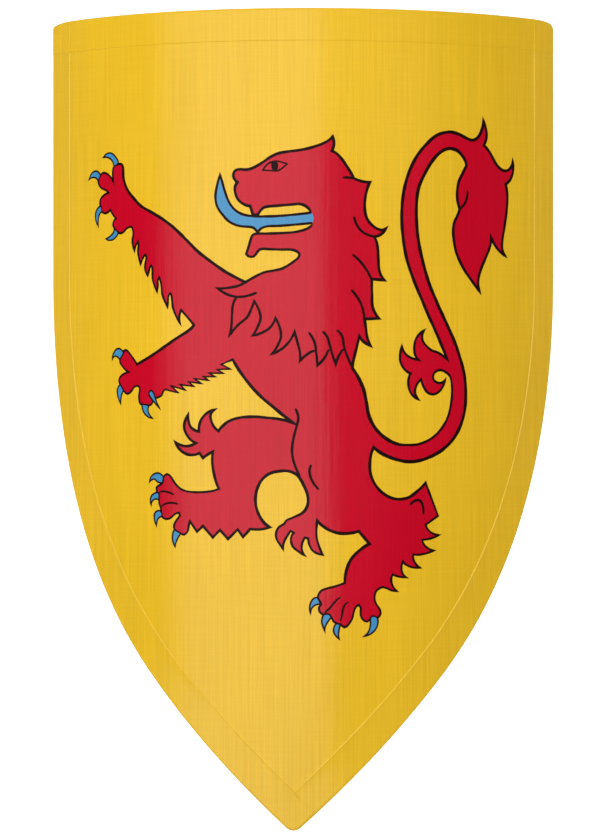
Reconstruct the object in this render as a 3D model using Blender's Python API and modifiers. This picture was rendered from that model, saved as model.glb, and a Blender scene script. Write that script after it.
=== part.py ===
"""Heater shield: a bent board faced with painted canvas, bound with cloth, with two leather arm straps.

The board bends about the shield's length. Flat shapes are drawn as their stuff would be cut, with
u across the face, measured along the bend, and t down from the top edge, and are then wrapped.
The shield lies on its long edges with its painted face up, as it comes to rest when put down.
"""

import math

import bmesh
import bpy
import numpy as np
from mathutils import Matrix, Vector

# The face, metres
HEIGHT = 0.858
GIRTH = 0.622
BEND_RADIUS = 0.335
SIDE_STRAIGHT = 0.280
SIDE_ARC_RADIUS = 0.647
SIDE_ARC_TURN = math.radians(40.0)
TOP_DROP = 0.003
TIP_RADIUS = 0.010
TIP_LEAN = -0.003
LEFT_CORNER_RADIUS = 0.002
RIGHT_CORNER_RADIUS = 0.008

# Layers and cloth
BOARD_THICKNESS = 0.008
CANVAS_THICKNESS = 0.0008
BINDING_THICKNESS = 0.0008
BINDING_TOP_WIDTH = 0.033
BINDING_SIDE_WIDTH = 0.032
GAP = 0.0003

# Arm straps, behind the board
STRAP_WIDTH = 0.040
STRAP_THICKNESS = 0.0035
STRAP_FOOT = 0.044
STRAP_RISE = 0.036
STRAPS_DOWN = 0.300
FOREARM_SPAN = 0.150
FOREARM_DEPTH = 0.068
FOREARM_OFFSET = 0.098
HAND_SPAN = 0.134
HAND_DEPTH = 0.050
HAND_OFFSET = -0.098

# Screws, two in each strap foot
SCREW_HEAD_RADIUS = 0.0055
SCREW_HEAD_HEIGHT = 0.0022
SCREW_SHANK_RADIUS = 0.0020
SCREW_BITE = 0.0055
SCREW_SLOT_WIDTH = 0.0012
SCREW_SLOT_DEPTH = 0.0010
SCREW_SPACING = 0.020
SCREW_FROM_END = 0.017
HOLE_CLEARANCE = 0.0004

# Facets
COLUMN_WIDTH = 0.011
EDGE_STEP = 0.020
CORNER_STEPS = 4
LEAF_STEPS = 2
STRAP_STEPS = 8
STRAP_COLUMNS = 4
ROUND_STEPS = 16

# How finely lengths and angles are worked out
HALVINGS = 60
LEVELS = 400
MERGE_WITHIN = 0.000001

# Worked out from the above
HALF_GIRTH = GIRTH / 2
CANVAS_BACK = GAP
CANVAS_FRONT = CANVAS_BACK + CANVAS_THICKNESS
BOARD_BACK = -BOARD_THICKNESS
FRONT_LEAF = CANVAS_FRONT + GAP + BINDING_THICKNESS / 2
BACK_LEAF = BOARD_BACK - GAP - BINDING_THICKNESS / 2
RIM_OUT = GAP + BINDING_THICKNESS / 2
STRAP_SEAT = BOARD_BACK - GAP - STRAP_THICKNESS / 2
SCREW_SEAT = BOARD_BACK - GAP - STRAP_THICKNESS - GAP
SHANK_LENGTH = STRAP_THICKNESS + 2 * GAP + SCREW_BITE


def clear_scene():
    for thing in list(bpy.data.objects):
        bpy.data.objects.remove(thing)


def make_collection(name):
    group = bpy.data.collections.new(name)
    bpy.context.scene.collection.children.link(group)
    return group


def make_material(name, colour, roughness, metallic=0.0):
    material = bpy.data.materials.new(name)
    material.use_nodes = True
    shader = material.node_tree.nodes["Principled BSDF"]
    shader.inputs["Base Color"].default_value = (*colour, 1.0)
    shader.inputs["Roughness"].default_value = roughness
    shader.inputs["Metallic"].default_value = metallic
    return material


# The side line, from the top corner to the sharp point that the tip is rounded from
class SideLine:
    """A straight, an arc, and a flatter arc that leaves it smoothly and ends on the middle line."""

    def __init__(self, apex):
        turn = SIDE_ARC_TURN
        self.arc_end_u = HALF_GIRTH - SIDE_ARC_RADIUS * (1 - math.cos(turn))
        self.arc_end_t = SIDE_STRAIGHT + SIDE_ARC_RADIUS * math.sin(turn)
        chord = math.hypot(self.arc_end_u, apex - self.arc_end_t)
        slope = math.atan2(self.arc_end_u, apex - self.arc_end_t)
        self.last_turn = 2 * (slope - turn)
        self.last_radius = chord / (2 * math.sin(self.last_turn / 2))
        self.straight_end = SIDE_STRAIGHT
        self.arc_end = self.straight_end + SIDE_ARC_RADIUS * turn
        self.length = self.arc_end + self.last_radius * self.last_turn

    def heading(self, run):
        if run <= self.straight_end:
            return 0.0
        if run <= self.arc_end:
            return (run - self.straight_end) / SIDE_ARC_RADIUS
        return SIDE_ARC_TURN + (run - self.arc_end) / self.last_radius

    def point(self, run, inset=0.0):
        angle = self.heading(run)
        if run <= self.straight_end:
            u, t = HALF_GIRTH, run
        elif run <= self.arc_end:
            u = HALF_GIRTH - SIDE_ARC_RADIUS * (1 - math.cos(angle))
            t = SIDE_STRAIGHT + SIDE_ARC_RADIUS * math.sin(angle)
        else:
            u = self.arc_end_u - self.last_radius * (math.cos(SIDE_ARC_TURN) - math.cos(angle))
            t = self.arc_end_t + self.last_radius * (math.sin(angle) - math.sin(SIDE_ARC_TURN))
        return Vector((u - inset * math.cos(angle), t - inset * math.sin(angle)))

    def run_where(self, reached):
        low, high = 0.0, self.length
        for _ in range(HALVINGS):
            middle = (low + high) / 2
            low, high = (low, middle) if reached(middle) else (middle, high)
        return high


def top_line(u, inset=0.0):
    return Vector((u, TOP_DROP * (u / HALF_GIRTH) ** 2 + inset))


def make_side():
    # The rounded tip stands short of the sharp one, so the sharp one is moved until the height is right
    apex = HEIGHT
    for _ in range(HALVINGS):
        side = SideLine(apex)
        half_angle = math.pi / 2 - side.heading(side.length)
        apex = HEIGHT + TIP_RADIUS * (1 / math.cos(half_angle) - 1)
    return side


def fillet(before, corner, after, radius):
    """Points of the arc that rounds a corner, from the side of `before` to the side of `after`."""
    one = (before - corner).normalized()
    two = (after - corner).normalized()
    half = one.angle(two) / 2
    centre = corner + (one + two).normalized() * radius / math.sin(half)
    start = corner + one * radius / math.tan(half) - centre
    sweep = math.pi - 2 * half
    sign = 1 if start.x * two.y - start.y * two.x > 0 else -1
    points = []
    for step in range(CORNER_STEPS + 1):
        angle = sign * sweep * step / CORNER_STEPS
        cosine, sine = math.cos(angle), math.sin(angle)
        points.append(centre + Vector((start.x * cosine - start.y * sine, start.x * sine + start.y * cosine)))
    return points


def spaced(low, high, step):
    count = max(1, math.ceil((high - low) / step))
    return [low + (high - low) * i / count for i in range(count + 1)]


def outline_rungs():
    """The outline clockwise from the left seam of the top strip, as seen from the front, as a list of
    (outer point, inner edge of the binding), with the places where the strips meet and the columns."""
    side = make_side()
    corner_inner = top_line(HALF_GIRTH - BINDING_SIDE_WIDTH, BINDING_TOP_WIDTH)
    foot_run = side.run_where(lambda run: side.point(run, BINDING_SIDE_WIDTH).x <= 0)
    tip_inner = Vector((0.0, side.point(foot_run, BINDING_SIDE_WIDTH).y))
    tip_run = side.length - TIP_RADIUS / math.tan(side.heading(side.length))
    edge = HALF_GIRTH - RIGHT_CORNER_RADIUS

    # Right half of the top edge, from the middle. Its points are the tops of the columns
    over_strip = spaced(corner_inner.x, edge, EDGE_STEP)[1:-1]
    columns = spaced(0, corner_inner.x, COLUMN_WIDTH) + over_strip
    top = [(top_line(u), corner_inner if u in over_strip else top_line(u, BINDING_TOP_WIDTH)) for u in columns]

    # Right side, from the top strip's seam to the tip, with the columns' feet among its points
    feet = [side.run_where(lambda run: side.point(run).x <= u) for u in columns[1:]]
    stops = sorted([corner_inner.y, side.straight_end, foot_run, *feet, tip_run])
    stops = stops[: stops.index(tip_run) + 1]
    runs = [stops[0], stops[1]]
    for one, next_one in zip(stops[1:], stops[2:]):
        runs += spaced(one, next_one, EDGE_STEP)[1:]
    low = []
    for run in runs[:-1]:
        low.append((side.point(run), tip_inner if run >= foot_run else side.point(run, BINDING_SIDE_WIDTH)))

    corner = top_line(HALF_GIRTH)
    below = low[0][0]
    mirror = Matrix(((-1, 0), (0, 1)))

    def rounded_corner(radius):
        return [(point, corner_inner) for point in fillet(top_line(edge), corner, below, radius)]

    right = top + rounded_corner(RIGHT_CORNER_RADIUS)
    left = [(mirror @ p, mirror @ q) for p, q in top[1:] + rounded_corner(LEFT_CORNER_RADIUS)]
    low_left = [(mirror @ p, mirror @ q) for p, q in low]
    apex = side.point(side.length)
    tip = [(point, tip_inner) for point in fillet(low[-1][0], apex, low_left[-1][0], TIP_RADIUS)]

    rungs = [low_left[0], *reversed(left), *right]
    right_seam = len(rungs)
    rungs += low
    tip_seam = right_seam + next(i for i, (p, q) in enumerate(low) if q == tip_inner)
    rungs += tip + list(reversed(low_left[1:]))
    return rungs, right_seam, tip_seam, columns


def wrap(u, t, height):
    """A flat point, at a height above the board's front, on the bend. The crown line is at z = 0.
    The pointed part leans sideways, as the board was sawn: nothing at the straight, all at the tip."""
    share = max(0.0, t - SIDE_STRAIGHT) / (HEIGHT - SIDE_STRAIGHT)
    angle = (u + TIP_LEAN * share * share) / BEND_RADIUS
    radius = BEND_RADIUS + height
    return Vector((radius * math.sin(angle), HEIGHT / 2 - t, radius * math.cos(angle) - BEND_RADIUS))


def add_object(name, mesh, material, group, frame):
    thing = bpy.data.objects.new(name, mesh)
    if material:
        mesh.materials.append(material)
    group.objects.link(thing)
    thing.parent = frame
    return thing


def add_solidify(thing, thickness, offset):
    shell = thing.modifiers.new("thickness", "SOLIDIFY")
    shell.thickness = thickness
    shell.offset = offset
    shell.use_even_offset = True


def shade(mesh, angle=30.0):
    mesh.shade_smooth()
    mesh.set_sharp_from_angle(angle=math.radians(angle))


# A sheet that fills the outline: cut flat, scored into upright columns, wrapped, thickened inward
def make_sheet(name, outline, columns, front, thickness, material, group, frame):
    sheet = bmesh.new()
    sheet.faces.new([sheet.verts.new((p.x, -p.y, 0)) for p in outline])
    for u in [-u for u in columns[1:]] + columns:
        everything = sheet.verts[:] + sheet.edges[:] + sheet.faces[:]
        bmesh.ops.bisect_plane(
            sheet, geom=everything, dist=MERGE_WITHIN, plane_co=(u, 0, 0), plane_no=(1, 0, 0)
        )
    for vert in sheet.verts:
        vert.co = wrap(vert.co.x, -vert.co.y, front)
    bmesh.ops.recalc_face_normals(sheet, faces=sheet.faces[:])
    if sum(face.normal.z for face in sheet.faces) < 0:
        bmesh.ops.reverse_faces(sheet, faces=sheet.faces[:])
    mesh = bpy.data.meshes.new(name)
    sheet.to_mesh(mesh)
    sheet.free()
    thing = add_object(name, mesh, material, group, frame)
    add_solidify(thing, thickness, -1)
    return thing


# A cloth strip folded round the rim: front leaf, rim, back leaf
def make_binding(name, rungs, material, group, frame):
    cloth = bmesh.new()
    rows = []
    last = len(rungs) - 1
    # The strip's ends stop half a gap short of the strips they meet
    short = {
        0: (rungs[1][0] - rungs[0][0]).normalized() * GAP / 2,
        last: (rungs[last - 1][0] - rungs[last][0]).normalized() * GAP / 2,
    }
    for i, (outer, inner) in enumerate(rungs):
        along = rungs[min(i + 1, last)][0] - rungs[max(i - 1, 0)][0]
        outward = Vector((along.y, -along.x)).normalized()
        edge = outer + outward * RIM_OUT
        for end, shift in short.items():
            edge = edge + shift * (i == end)
            inner = inner + shift * (rungs[end][1] == rungs[i][1])
        leaf = [inner.lerp(edge, k / LEAF_STEPS) for k in range(LEAF_STEPS + 1)]
        front = [wrap(p.x, p.y, FRONT_LEAF) for p in leaf]
        back = [wrap(p.x, p.y, BACK_LEAF) for p in reversed(leaf)]
        rows.append([cloth.verts.new(p) for p in front + back])
    for row, following in zip(rows, rows[1:]):
        for k in range(len(row) - 1):
            cloth.faces.new((row[k], row[k + 1], following[k + 1], following[k]))
    bmesh.ops.remove_doubles(cloth, verts=cloth.verts[:], dist=MERGE_WITHIN)
    bmesh.ops.recalc_face_normals(cloth, faces=cloth.faces[:])
    mesh = bpy.data.meshes.new(name)
    cloth.to_mesh(mesh)
    cloth.free()
    thing = add_object(name, mesh, material, group, frame)
    add_solidify(thing, BINDING_THICKNESS, 0)
    return thing


# An arm strap: two feet flat on the board's back and a loop between them
def strap_height(t, span, depth):
    rise = min(1.0, max(0.0, (span / 2 - abs(t)) / STRAP_RISE))
    return STRAP_SEAT - depth * math.sin(rise * math.pi / 2) ** 2


def strap_point(offset, across, t, height):
    """Across is measured at the strap's own depth, so that the leather keeps its width."""
    radius = BEND_RADIUS + height
    angle = offset / BEND_RADIUS + across / radius
    return Vector((radius * math.sin(angle), HEIGHT / 2 - t, radius * math.cos(angle) - BEND_RADIUS))


def make_strap(name, offset, span, depth, material, group, frame):
    end = span / 2 + STRAP_FOOT
    flat = span / 2 - STRAP_RISE
    rise = spaced(flat, span / 2, STRAP_RISE / STRAP_STEPS)
    half = spaced(0, flat, flat / 2)[:-1] + rise + [end - SCREW_FROM_END, end]
    lengths = [-t for t in reversed(half[1:])] + half
    leather = bmesh.new()
    rows = []
    for t in lengths:
        height = strap_height(t, span, depth)
        acrosses = spaced(-STRAP_WIDTH / 2, STRAP_WIDTH / 2, STRAP_WIDTH / STRAP_COLUMNS)
        points = [strap_point(offset, across, STRAPS_DOWN + t, height) for across in acrosses]
        rows.append([leather.verts.new(point) for point in points])
    for row, following in zip(rows, rows[1:]):
        for k in range(len(row) - 1):
            leather.faces.new((row[k], row[k + 1], following[k + 1], following[k]))
    bmesh.ops.recalc_face_normals(leather, faces=leather.faces[:])
    mesh = bpy.data.meshes.new(name)
    leather.to_mesh(mesh)
    leather.free()
    thing = add_object(name, mesh, material, group, frame)
    add_solidify(thing, STRAP_THICKNESS, 0)
    return thing


def screw_places(offset, span):
    """Each screw's frame: its z axis points out of the strap, its origin is under the head."""
    places = []
    for end in (-1, 1):
        t = STRAPS_DOWN + end * (span / 2 + STRAP_FOOT - SCREW_FROM_END)
        for across in (-SCREW_SPACING / 2, SCREW_SPACING / 2):
            seat = strap_point(offset, across, t, SCREW_SEAT)
            angle = offset / BEND_RADIUS + across / (BEND_RADIUS + SCREW_SEAT)
            places.append(Matrix.Translation(seat) @ Matrix.Rotation(angle + math.pi, 4, "Y"))
    return places


def cylinder(radius, low, high):
    rod = bmesh.new()
    place = Matrix.Translation((0, 0, (low + high) / 2))
    bmesh.ops.create_cone(
        rod, cap_ends=True, segments=ROUND_STEPS, radius1=radius, radius2=radius, depth=high - low, matrix=place
    )
    mesh = bpy.data.meshes.new("hole")
    rod.to_mesh(mesh)
    rod.free()
    return mesh


def add_cutter(name, mesh, group, frame):
    thing = add_object(name, mesh, None, group, frame)
    thing.hide_render = True
    thing.display_type = "WIRE"
    return thing


def cut(thing, cutter):
    hole = thing.modifiers.new(cutter.name, "BOOLEAN")
    hole.operation = "DIFFERENCE"
    hole.object = cutter


# A slotted dome-head screw, turned from its half profile
def make_screw_mesh(material, cutters):
    dome = []
    for step in range(CORNER_STEPS + 1):
        angle = math.pi / 2 * (1 - step / CORNER_STEPS)
        dome.append((SCREW_HEAD_RADIUS * math.cos(angle), SCREW_HEAD_HEIGHT * math.sin(angle)))
    profile = dome + [(SCREW_SHANK_RADIUS, 0.0), (SCREW_SHANK_RADIUS, -SHANK_LENGTH), (0.0, -SHANK_LENGTH)]
    mesh = bpy.data.meshes.new("screw_profile")
    points = [(x, 0, z) for x, z in profile]
    mesh.from_pydata(points, [(i, i + 1) for i in range(len(points) - 1)], [])
    blank = add_cutter("screw_blank", mesh, cutters, None)
    mesh.materials.append(material)
    lathe = blank.modifiers.new("turn", "SCREW")
    lathe.steps = ROUND_STEPS
    lathe.render_steps = ROUND_STEPS
    lathe.use_merge_vertices = True
    lathe.merge_threshold = 0.00001
    lathe.use_normal_calculate = True

    slot = bmesh.new()
    size = Matrix.Diagonal((3 * SCREW_HEAD_RADIUS, SCREW_SLOT_WIDTH, 2 * SCREW_SLOT_DEPTH, 1))
    place = Matrix.Translation((0, 0, SCREW_HEAD_HEIGHT))
    bmesh.ops.create_cube(slot, size=1, matrix=place @ size)
    slot_mesh = bpy.data.meshes.new("screw_slot")
    slot.to_mesh(slot_mesh)
    slot.free()
    slot_cutter = add_cutter("screw_slot", slot_mesh, cutters, None)
    cut(blank, slot_cutter)

    seen = blank.evaluated_get(bpy.context.evaluated_depsgraph_get())
    finished = bpy.data.meshes.new_from_object(seen)
    bpy.data.objects.remove(blank)
    bpy.data.objects.remove(slot_cutter)
    return finished


# How it lies: tip down until the weight stands over the edge that meets the ground
def resting_tilt(rungs):
    outline = np.array([(p.x, p.y) for p, _ in rungs])
    levels = HEIGHT * (np.arange(LEVELS) + 0.5) / LEVELS
    right = outline[outline[:, 0] > 0]
    right = right[np.argsort(right[:, 1])]
    half = np.interp(levels, right[:, 1], right[:, 0])
    weight = half.sum()
    middle = BEND_RADIUS - BOARD_THICKNESS / 2
    inside = BEND_RADIUS - BOARD_THICKNESS
    down = (half * levels).sum() / weight
    up = (middle * BEND_RADIUS * np.sin(half / BEND_RADIUS)).sum() / weight
    edge_up = inside * np.cos(half / BEND_RADIUS)
    low, high = 0.0, math.pi / 4
    for _ in range(HALVINGS):
        tilt = (low + high) / 2
        meets = np.argmin(edge_up * math.cos(tilt) - levels * math.sin(tilt))
        centre = down * math.cos(tilt) + up * math.sin(tilt)
        touch = levels[meets] * math.cos(tilt) + edge_up[meets] * math.sin(tilt)
        low, high = (tilt, high) if centre > touch else (low, tilt)
    return tilt


def seat_on_ground(frame, things):
    """Turns the shield to its resting tilt, then puts its box's lowest face and middle on the origin."""
    bpy.context.view_layer.update()
    depsgraph = bpy.context.evaluated_depsgraph_get()
    corners = []
    for thing in things:
        mesh = thing.evaluated_get(depsgraph).to_mesh()
        corners += [thing.matrix_world @ vert.co for vert in mesh.vertices]
        thing.evaluated_get(depsgraph).to_mesh_clear()
    cloud = np.array(corners)
    low, high = cloud.min(axis=0), cloud.max(axis=0)
    frame.location = Vector((-(low[0] + high[0]) / 2, -(low[1] + high[1]) / 2, -low[2]))


def build_shield():
    clear_scene()
    group = make_collection("heater_shield")
    cutters = make_collection("cutters")
    frame = bpy.data.objects.new("resting_frame", None)
    group.objects.link(frame)

    ply = make_material("birch ply", (0.42, 0.27, 0.14), 0.55)
    paint = make_material("yellow paint on canvas", (0.80, 0.50, 0.04), 0.45)
    leather = make_material("brown leather", (0.13, 0.055, 0.022), 0.60)
    steel = make_material("steel", (0.45, 0.44, 0.42), 0.35, 1.0)

    rungs, right_seam, tip_seam, columns = outline_rungs()
    frame.rotation_euler.x = resting_tilt(rungs)
    outline = [outer for outer, _ in rungs]
    board = make_sheet("curved_board", outline, columns, 0.0, BOARD_THICKNESS, ply, group, frame)
    make_sheet("painted_canvas", outline, columns, CANVAS_FRONT, CANVAS_THICKNESS, paint, group, frame)

    # The top strip has both corners, and the left strip has the tip
    top = rungs[: right_seam] + [rungs[right_seam]]
    right = rungs[right_seam : tip_seam + 1]
    left = rungs[tip_seam:] + [rungs[0]]
    bindings = [
        make_binding("edge_binding_top", top, paint, group, frame),
        make_binding("edge_binding_right", right, paint, group, frame),
        make_binding("edge_binding_left", left, paint, group, frame),
    ]

    screw_mesh = make_screw_mesh(steel, cutters)
    hole = cylinder(SCREW_SHANK_RADIUS + HOLE_CLEARANCE, -SHANK_LENGTH - GAP, SCREW_HEAD_HEIGHT)
    straps = [
        ("forearm_strap", FOREARM_OFFSET, FOREARM_SPAN, FOREARM_DEPTH),
        ("hand_strap", HAND_OFFSET, HAND_SPAN, HAND_DEPTH),
    ]
    number = 0
    for name, offset, span, depth in straps:
        strap = make_strap(name, offset, span, depth, leather, group, frame)
        for place in screw_places(offset, span):
            number += 1
            cutter = add_cutter(f"screw_hole_{number}", hole, cutters, frame)
            cutter.matrix_local = place
            cut(strap, cutter)
            cut(board, cutter)
            screw = add_object(f"strap_screw_{number}", screw_mesh, None, group, frame)
            screw.matrix_local = place

    seat_on_ground(frame, bindings)
    for thing in group.objects:
        if thing.type == "MESH":
            shade(thing.data)


build_shield()
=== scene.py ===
"""Heater shield: a bent board faced with painted canvas, bound with cloth, with leather arm straps behind.

Shapes are drawn flat, as their stuff would be cut, with u across the face along the bend and t down from
the top edge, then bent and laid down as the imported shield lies. The lion is painted: its lines are given
as places in the photograph, which the camera carries onto the bent canvas.
"""

import math

import bmesh
import bpy
import numpy as np
from mathutils import Matrix, Vector
from mathutils.geometry import delaunay_2d_cdt


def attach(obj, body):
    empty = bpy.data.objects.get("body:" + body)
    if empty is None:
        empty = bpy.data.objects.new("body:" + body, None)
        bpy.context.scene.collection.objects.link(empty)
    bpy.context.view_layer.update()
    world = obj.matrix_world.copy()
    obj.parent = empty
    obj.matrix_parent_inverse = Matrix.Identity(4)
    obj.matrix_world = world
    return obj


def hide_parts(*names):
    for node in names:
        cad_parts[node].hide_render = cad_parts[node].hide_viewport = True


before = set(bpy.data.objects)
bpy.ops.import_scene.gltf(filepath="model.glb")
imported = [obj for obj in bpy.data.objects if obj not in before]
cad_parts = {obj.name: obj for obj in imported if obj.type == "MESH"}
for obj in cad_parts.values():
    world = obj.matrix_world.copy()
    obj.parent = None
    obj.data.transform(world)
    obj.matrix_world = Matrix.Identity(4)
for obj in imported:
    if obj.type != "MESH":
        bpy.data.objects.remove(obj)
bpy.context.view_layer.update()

# The face, metres
HEIGHT = 0.858
HALF_GIRTH = 0.311
BEND_RADIUS = 0.335
SIDE_STRAIGHT = 0.280
SIDE_ARC_RADIUS = 0.647
SIDE_ARC_TURN = math.radians(40.0)
TOP_DROP = 0.003
CORNER_DROOP = 0.003
CORNER_DROOP_LENGTH = 0.028
TIP_RADIUS = 0.010
TIP_LEAN = -0.003
LEFT_CORNER_RADIUS = 0.002
RIGHT_CORNER_RADIUS = 0.008

# Layers: heights above the board's front
BOARD_BACK = -0.008
CANVAS_BACK = 0.0003
CANVAS_FRONT = 0.0011
STRIP_TOP_WIDTH = 0.033
STRIP_SIDE_WIDTH = 0.032
STRIP_RIM = 0.0011
STRIP_THICKNESS = 0.00055
STRIP_WAVINESS = 0.00012
# Where one strip lies over another: how far it is lifted, over how short a way, and how far the left
# strip reaches on over the right one
LAP_LIFT = 0.0004
LAP_SOFT = 0.0007
LEFT_LAP = 0.0016
# The ridge of paint and glue along a side strip's inner edge: its height and how far in its crest is
BEAD = 0.0003
BEAD_INSET = 0.0007

# Arm straps
GLUE_GAP = 0.0003
STRAP_WIDTH = 0.040
STRAP_THICKNESS = 0.0035
STRAP_EDGE_RADIUS = 0.0012
STRAP_SEAT = BOARD_BACK - GLUE_GAP - STRAP_THICKNESS / 2
STRAP_FOOT = 0.044
STRAP_RISE = 0.036
STRAPS_DOWN = 0.300
STRAPS = {
    "forearm_strap": {"offset": 0.098, "span": 0.150, "depth": 0.068},
    "hand_strap": {"offset": -0.098, "span": 0.134, "depth": 0.050},
}
SCREW_SEAT = BOARD_BACK - 2 * GLUE_GAP - STRAP_THICKNESS
SCREW_HEAD_RADIUS = 0.0055
SCREW_HEAD_HEIGHT = 0.0022
SCREW_SHANK_RADIUS = 0.0020
SCREW_SHANK_LENGTH = 0.0096
SCREW_SLOT_WIDTH = 0.0012
SCREW_SLOT_DEPTH = 0.0010
SCREW_SPACING = 0.020
SCREW_FROM_END = 0.017
# Each slot stands at its own angle, in radians
SCREW_FIRST_TURN = 0.7
SCREW_NEXT_TURN = 1.9

# The camera, from the fit of the shield's outline: how it stands in the shield's own frame
CAMERA_DISTANCE = 4.39
CAMERA_TURN = math.radians(2.8)
CAMERA_SHIFT = (-0.0027, -0.0008)
CAMERA_LENS = 180.0
CAMERA_SENSOR = 36.0
IMAGE_WIDTH = 600
IMAGE_HEIGHT = 840
TURN_CENTRE = Vector((0.0, 0.0, -0.4 * BEND_RADIUS))

# Paint lines
INNER_LINE_WIDTH = 0.0028
TOE_LINE_WIDTH = 0.0022
CLAW_LINE_WIDTH = 0.0018
TONGUE_LINE_WIDTH = 0.0027
LINE_STEP = 0.0022
# A hand's unevenness: how much, how often along the line, and where it starts
UNEVENNESS = ((0.06, 190.0, 0.0), (0.04, 437.0, 1.3))
# A line's width at its last two points, and how far a mitre may reach
LINE_END_TAPER = (0.62, 0.92)
MITRE_LIMIT = 0.36
WIDTH_EASING = 3

# How finely things are divided and worked out
TOP_STEP = 0.006
CORNER_STEP = 0.004
STRAIGHT_STEP = 0.016
ARC_STEP = 0.007
FAN_STEP = 0.006
FILLET_STEPS = 8
CANVAS_COLUMN = 0.0055
BOARD_COLUMN = 0.008
STRAP_STEP = 0.003
SCREW_SIDES = 40
SCREW_DOME_RINGS = 8
SETTLING_ROUNDS = 40
HALVINGS = 60
# Sheets are cut in millimetres, where the triangulation is exact enough
MM = 1000
CUT_MARGIN = 5.0
CUT_MERGE = 0.004

# The room round the shield, and what its lamps have in common
ROOM_REACH = 9.0
FLOOR_DROP = 0.0001
LAMP_SIZE = (2.2, 2.2)
LAMP_TARGET = (0, 0, -0.1)

# What the canvas is painted with, in the order of its materials
GROUND, RED_AREA, BLACK_LINE, BLUE_AREA = range(4)


# The bend and the way it lies
def place_at(angle, t, height):
    """The place at an angle round the bend, in the shield's own frame: crown line at z = 0."""
    radius = BEND_RADIUS + height
    return Vector((radius * math.sin(angle), HEIGHT / 2 - t, radius * math.cos(angle) - BEND_RADIUS))


def bend(u, t, height):
    """A flat point, at a height above the board's front, where the bend takes it."""
    return place_at(u / BEND_RADIUS, t, height)


def bend_normal(u):
    return Vector((math.sin(u / BEND_RADIUS), 0.0, math.cos(u / BEND_RADIUS)))


def lean(point):
    """The pointed part leans sideways, as the board was sawn: nothing at the straight, all at the tip."""
    share = max(0.0, point.y - SIDE_STRAIGHT) / (HEIGHT - SIDE_STRAIGHT)
    return Vector((point.x + TIP_LEAN * share * share, point.y))


def resting_place():
    """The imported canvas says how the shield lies: its highest point is the crown's top, and its longest
    edge that keeps x runs along the crown."""
    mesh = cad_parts["painted_canvas"].data
    same_x = 1e-5
    points = [vert.co for vert in mesh.vertices]
    crown = max(points, key=lambda p: p.z)
    lines = [points[b] - points[a] for a, b in mesh.edge_keys]
    straight = max((line for line in lines if abs(line.x) < same_x), key=lambda line: line.length)
    straight = straight if straight.y > 0 else -straight
    tilt = Matrix.Rotation(math.atan2(straight.z, straight.y), 4, "X")
    return Matrix.Translation(crown) @ tilt @ Matrix.Translation(-bend(0, 0, CANVAS_FRONT))


LAID = resting_place()


# The outline
class SideLine:
    """A straight, an arc, and a flatter arc that leaves it smoothly and ends on the middle line."""

    def __init__(self, apex):
        turn = SIDE_ARC_TURN
        self.arc_end_u = HALF_GIRTH - SIDE_ARC_RADIUS * (1 - math.cos(turn))
        self.arc_end_t = SIDE_STRAIGHT + SIDE_ARC_RADIUS * math.sin(turn)
        chord = math.hypot(self.arc_end_u, apex - self.arc_end_t)
        self.last_turn = 2 * (math.atan2(self.arc_end_u, apex - self.arc_end_t) - turn)
        self.last_radius = chord / (2 * math.sin(self.last_turn / 2))
        self.arc_end = SIDE_STRAIGHT + SIDE_ARC_RADIUS * turn
        self.length = self.arc_end + self.last_radius * self.last_turn

    def heading(self, run):
        """Which way the side goes at a run along it, as its turn from straight down."""
        if run <= SIDE_STRAIGHT:
            return 0.0
        if run <= self.arc_end:
            return (run - SIDE_STRAIGHT) / SIDE_ARC_RADIUS
        return SIDE_ARC_TURN + (run - self.arc_end) / self.last_radius

    def point(self, run, inset=0.0):
        """The flat point at a run along the side, or that far in from it."""
        angle = self.heading(run)
        if run <= SIDE_STRAIGHT:
            u, t = HALF_GIRTH, run
        elif run <= self.arc_end:
            u = HALF_GIRTH - SIDE_ARC_RADIUS * (1 - math.cos(angle))
            t = SIDE_STRAIGHT + SIDE_ARC_RADIUS * math.sin(angle)
        else:
            u = self.arc_end_u - self.last_radius * (math.cos(SIDE_ARC_TURN) - math.cos(angle))
            t = self.arc_end_t + self.last_radius * (math.sin(angle) - math.sin(SIDE_ARC_TURN))
        return Vector((u - inset * math.cos(angle), t - inset * math.sin(angle)))


def top_line(u, inset=0.0):
    """The top edge sinks a little to both sides and droops at its corners."""
    past = max(0.0, abs(u) - (HALF_GIRTH - CORNER_DROOP_LENGTH)) / CORNER_DROOP_LENGTH
    return Vector((u, TOP_DROP * (u / HALF_GIRTH) ** 2 + CORNER_DROOP * past**2 + inset))


def make_side():
    """The side line whose rounded tip ends at the shield's full height."""
    apex = HEIGHT
    for _ in range(SETTLING_ROUNDS):
        side = SideLine(apex)
        half_angle = math.pi / 2 - side.heading(side.length)
        apex = HEIGHT + TIP_RADIUS * (1 / math.cos(half_angle) - 1)
    return side


def fillet(before, corner, after, radius):
    """The points of an arc that rounds a corner between two straight lines."""
    one, two = (before - corner).normalized(), (after - corner).normalized()
    half = one.angle(two) / 2
    centre = corner + (one + two).normalized() * radius / math.sin(half)
    start = corner + one * radius / math.tan(half) - centre
    sign = 1 if start.x * two.y - start.y * two.x > 0 else -1
    points = []
    for step in range(FILLET_STEPS + 1):
        angle = sign * (math.pi - 2 * half) * step / FILLET_STEPS
        cosine, sine = math.cos(angle), math.sin(angle)
        points.append(centre + Vector((start.x * cosine - start.y * sine, start.x * sine + start.y * cosine)))
    return points


def spaced(low, high, step):
    """Even steps from low to high, none longer than the step."""
    count = max(1, math.ceil(abs(high - low) / step))
    return [low + (high - low) * i / count for i in range(count + 1)]


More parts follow.
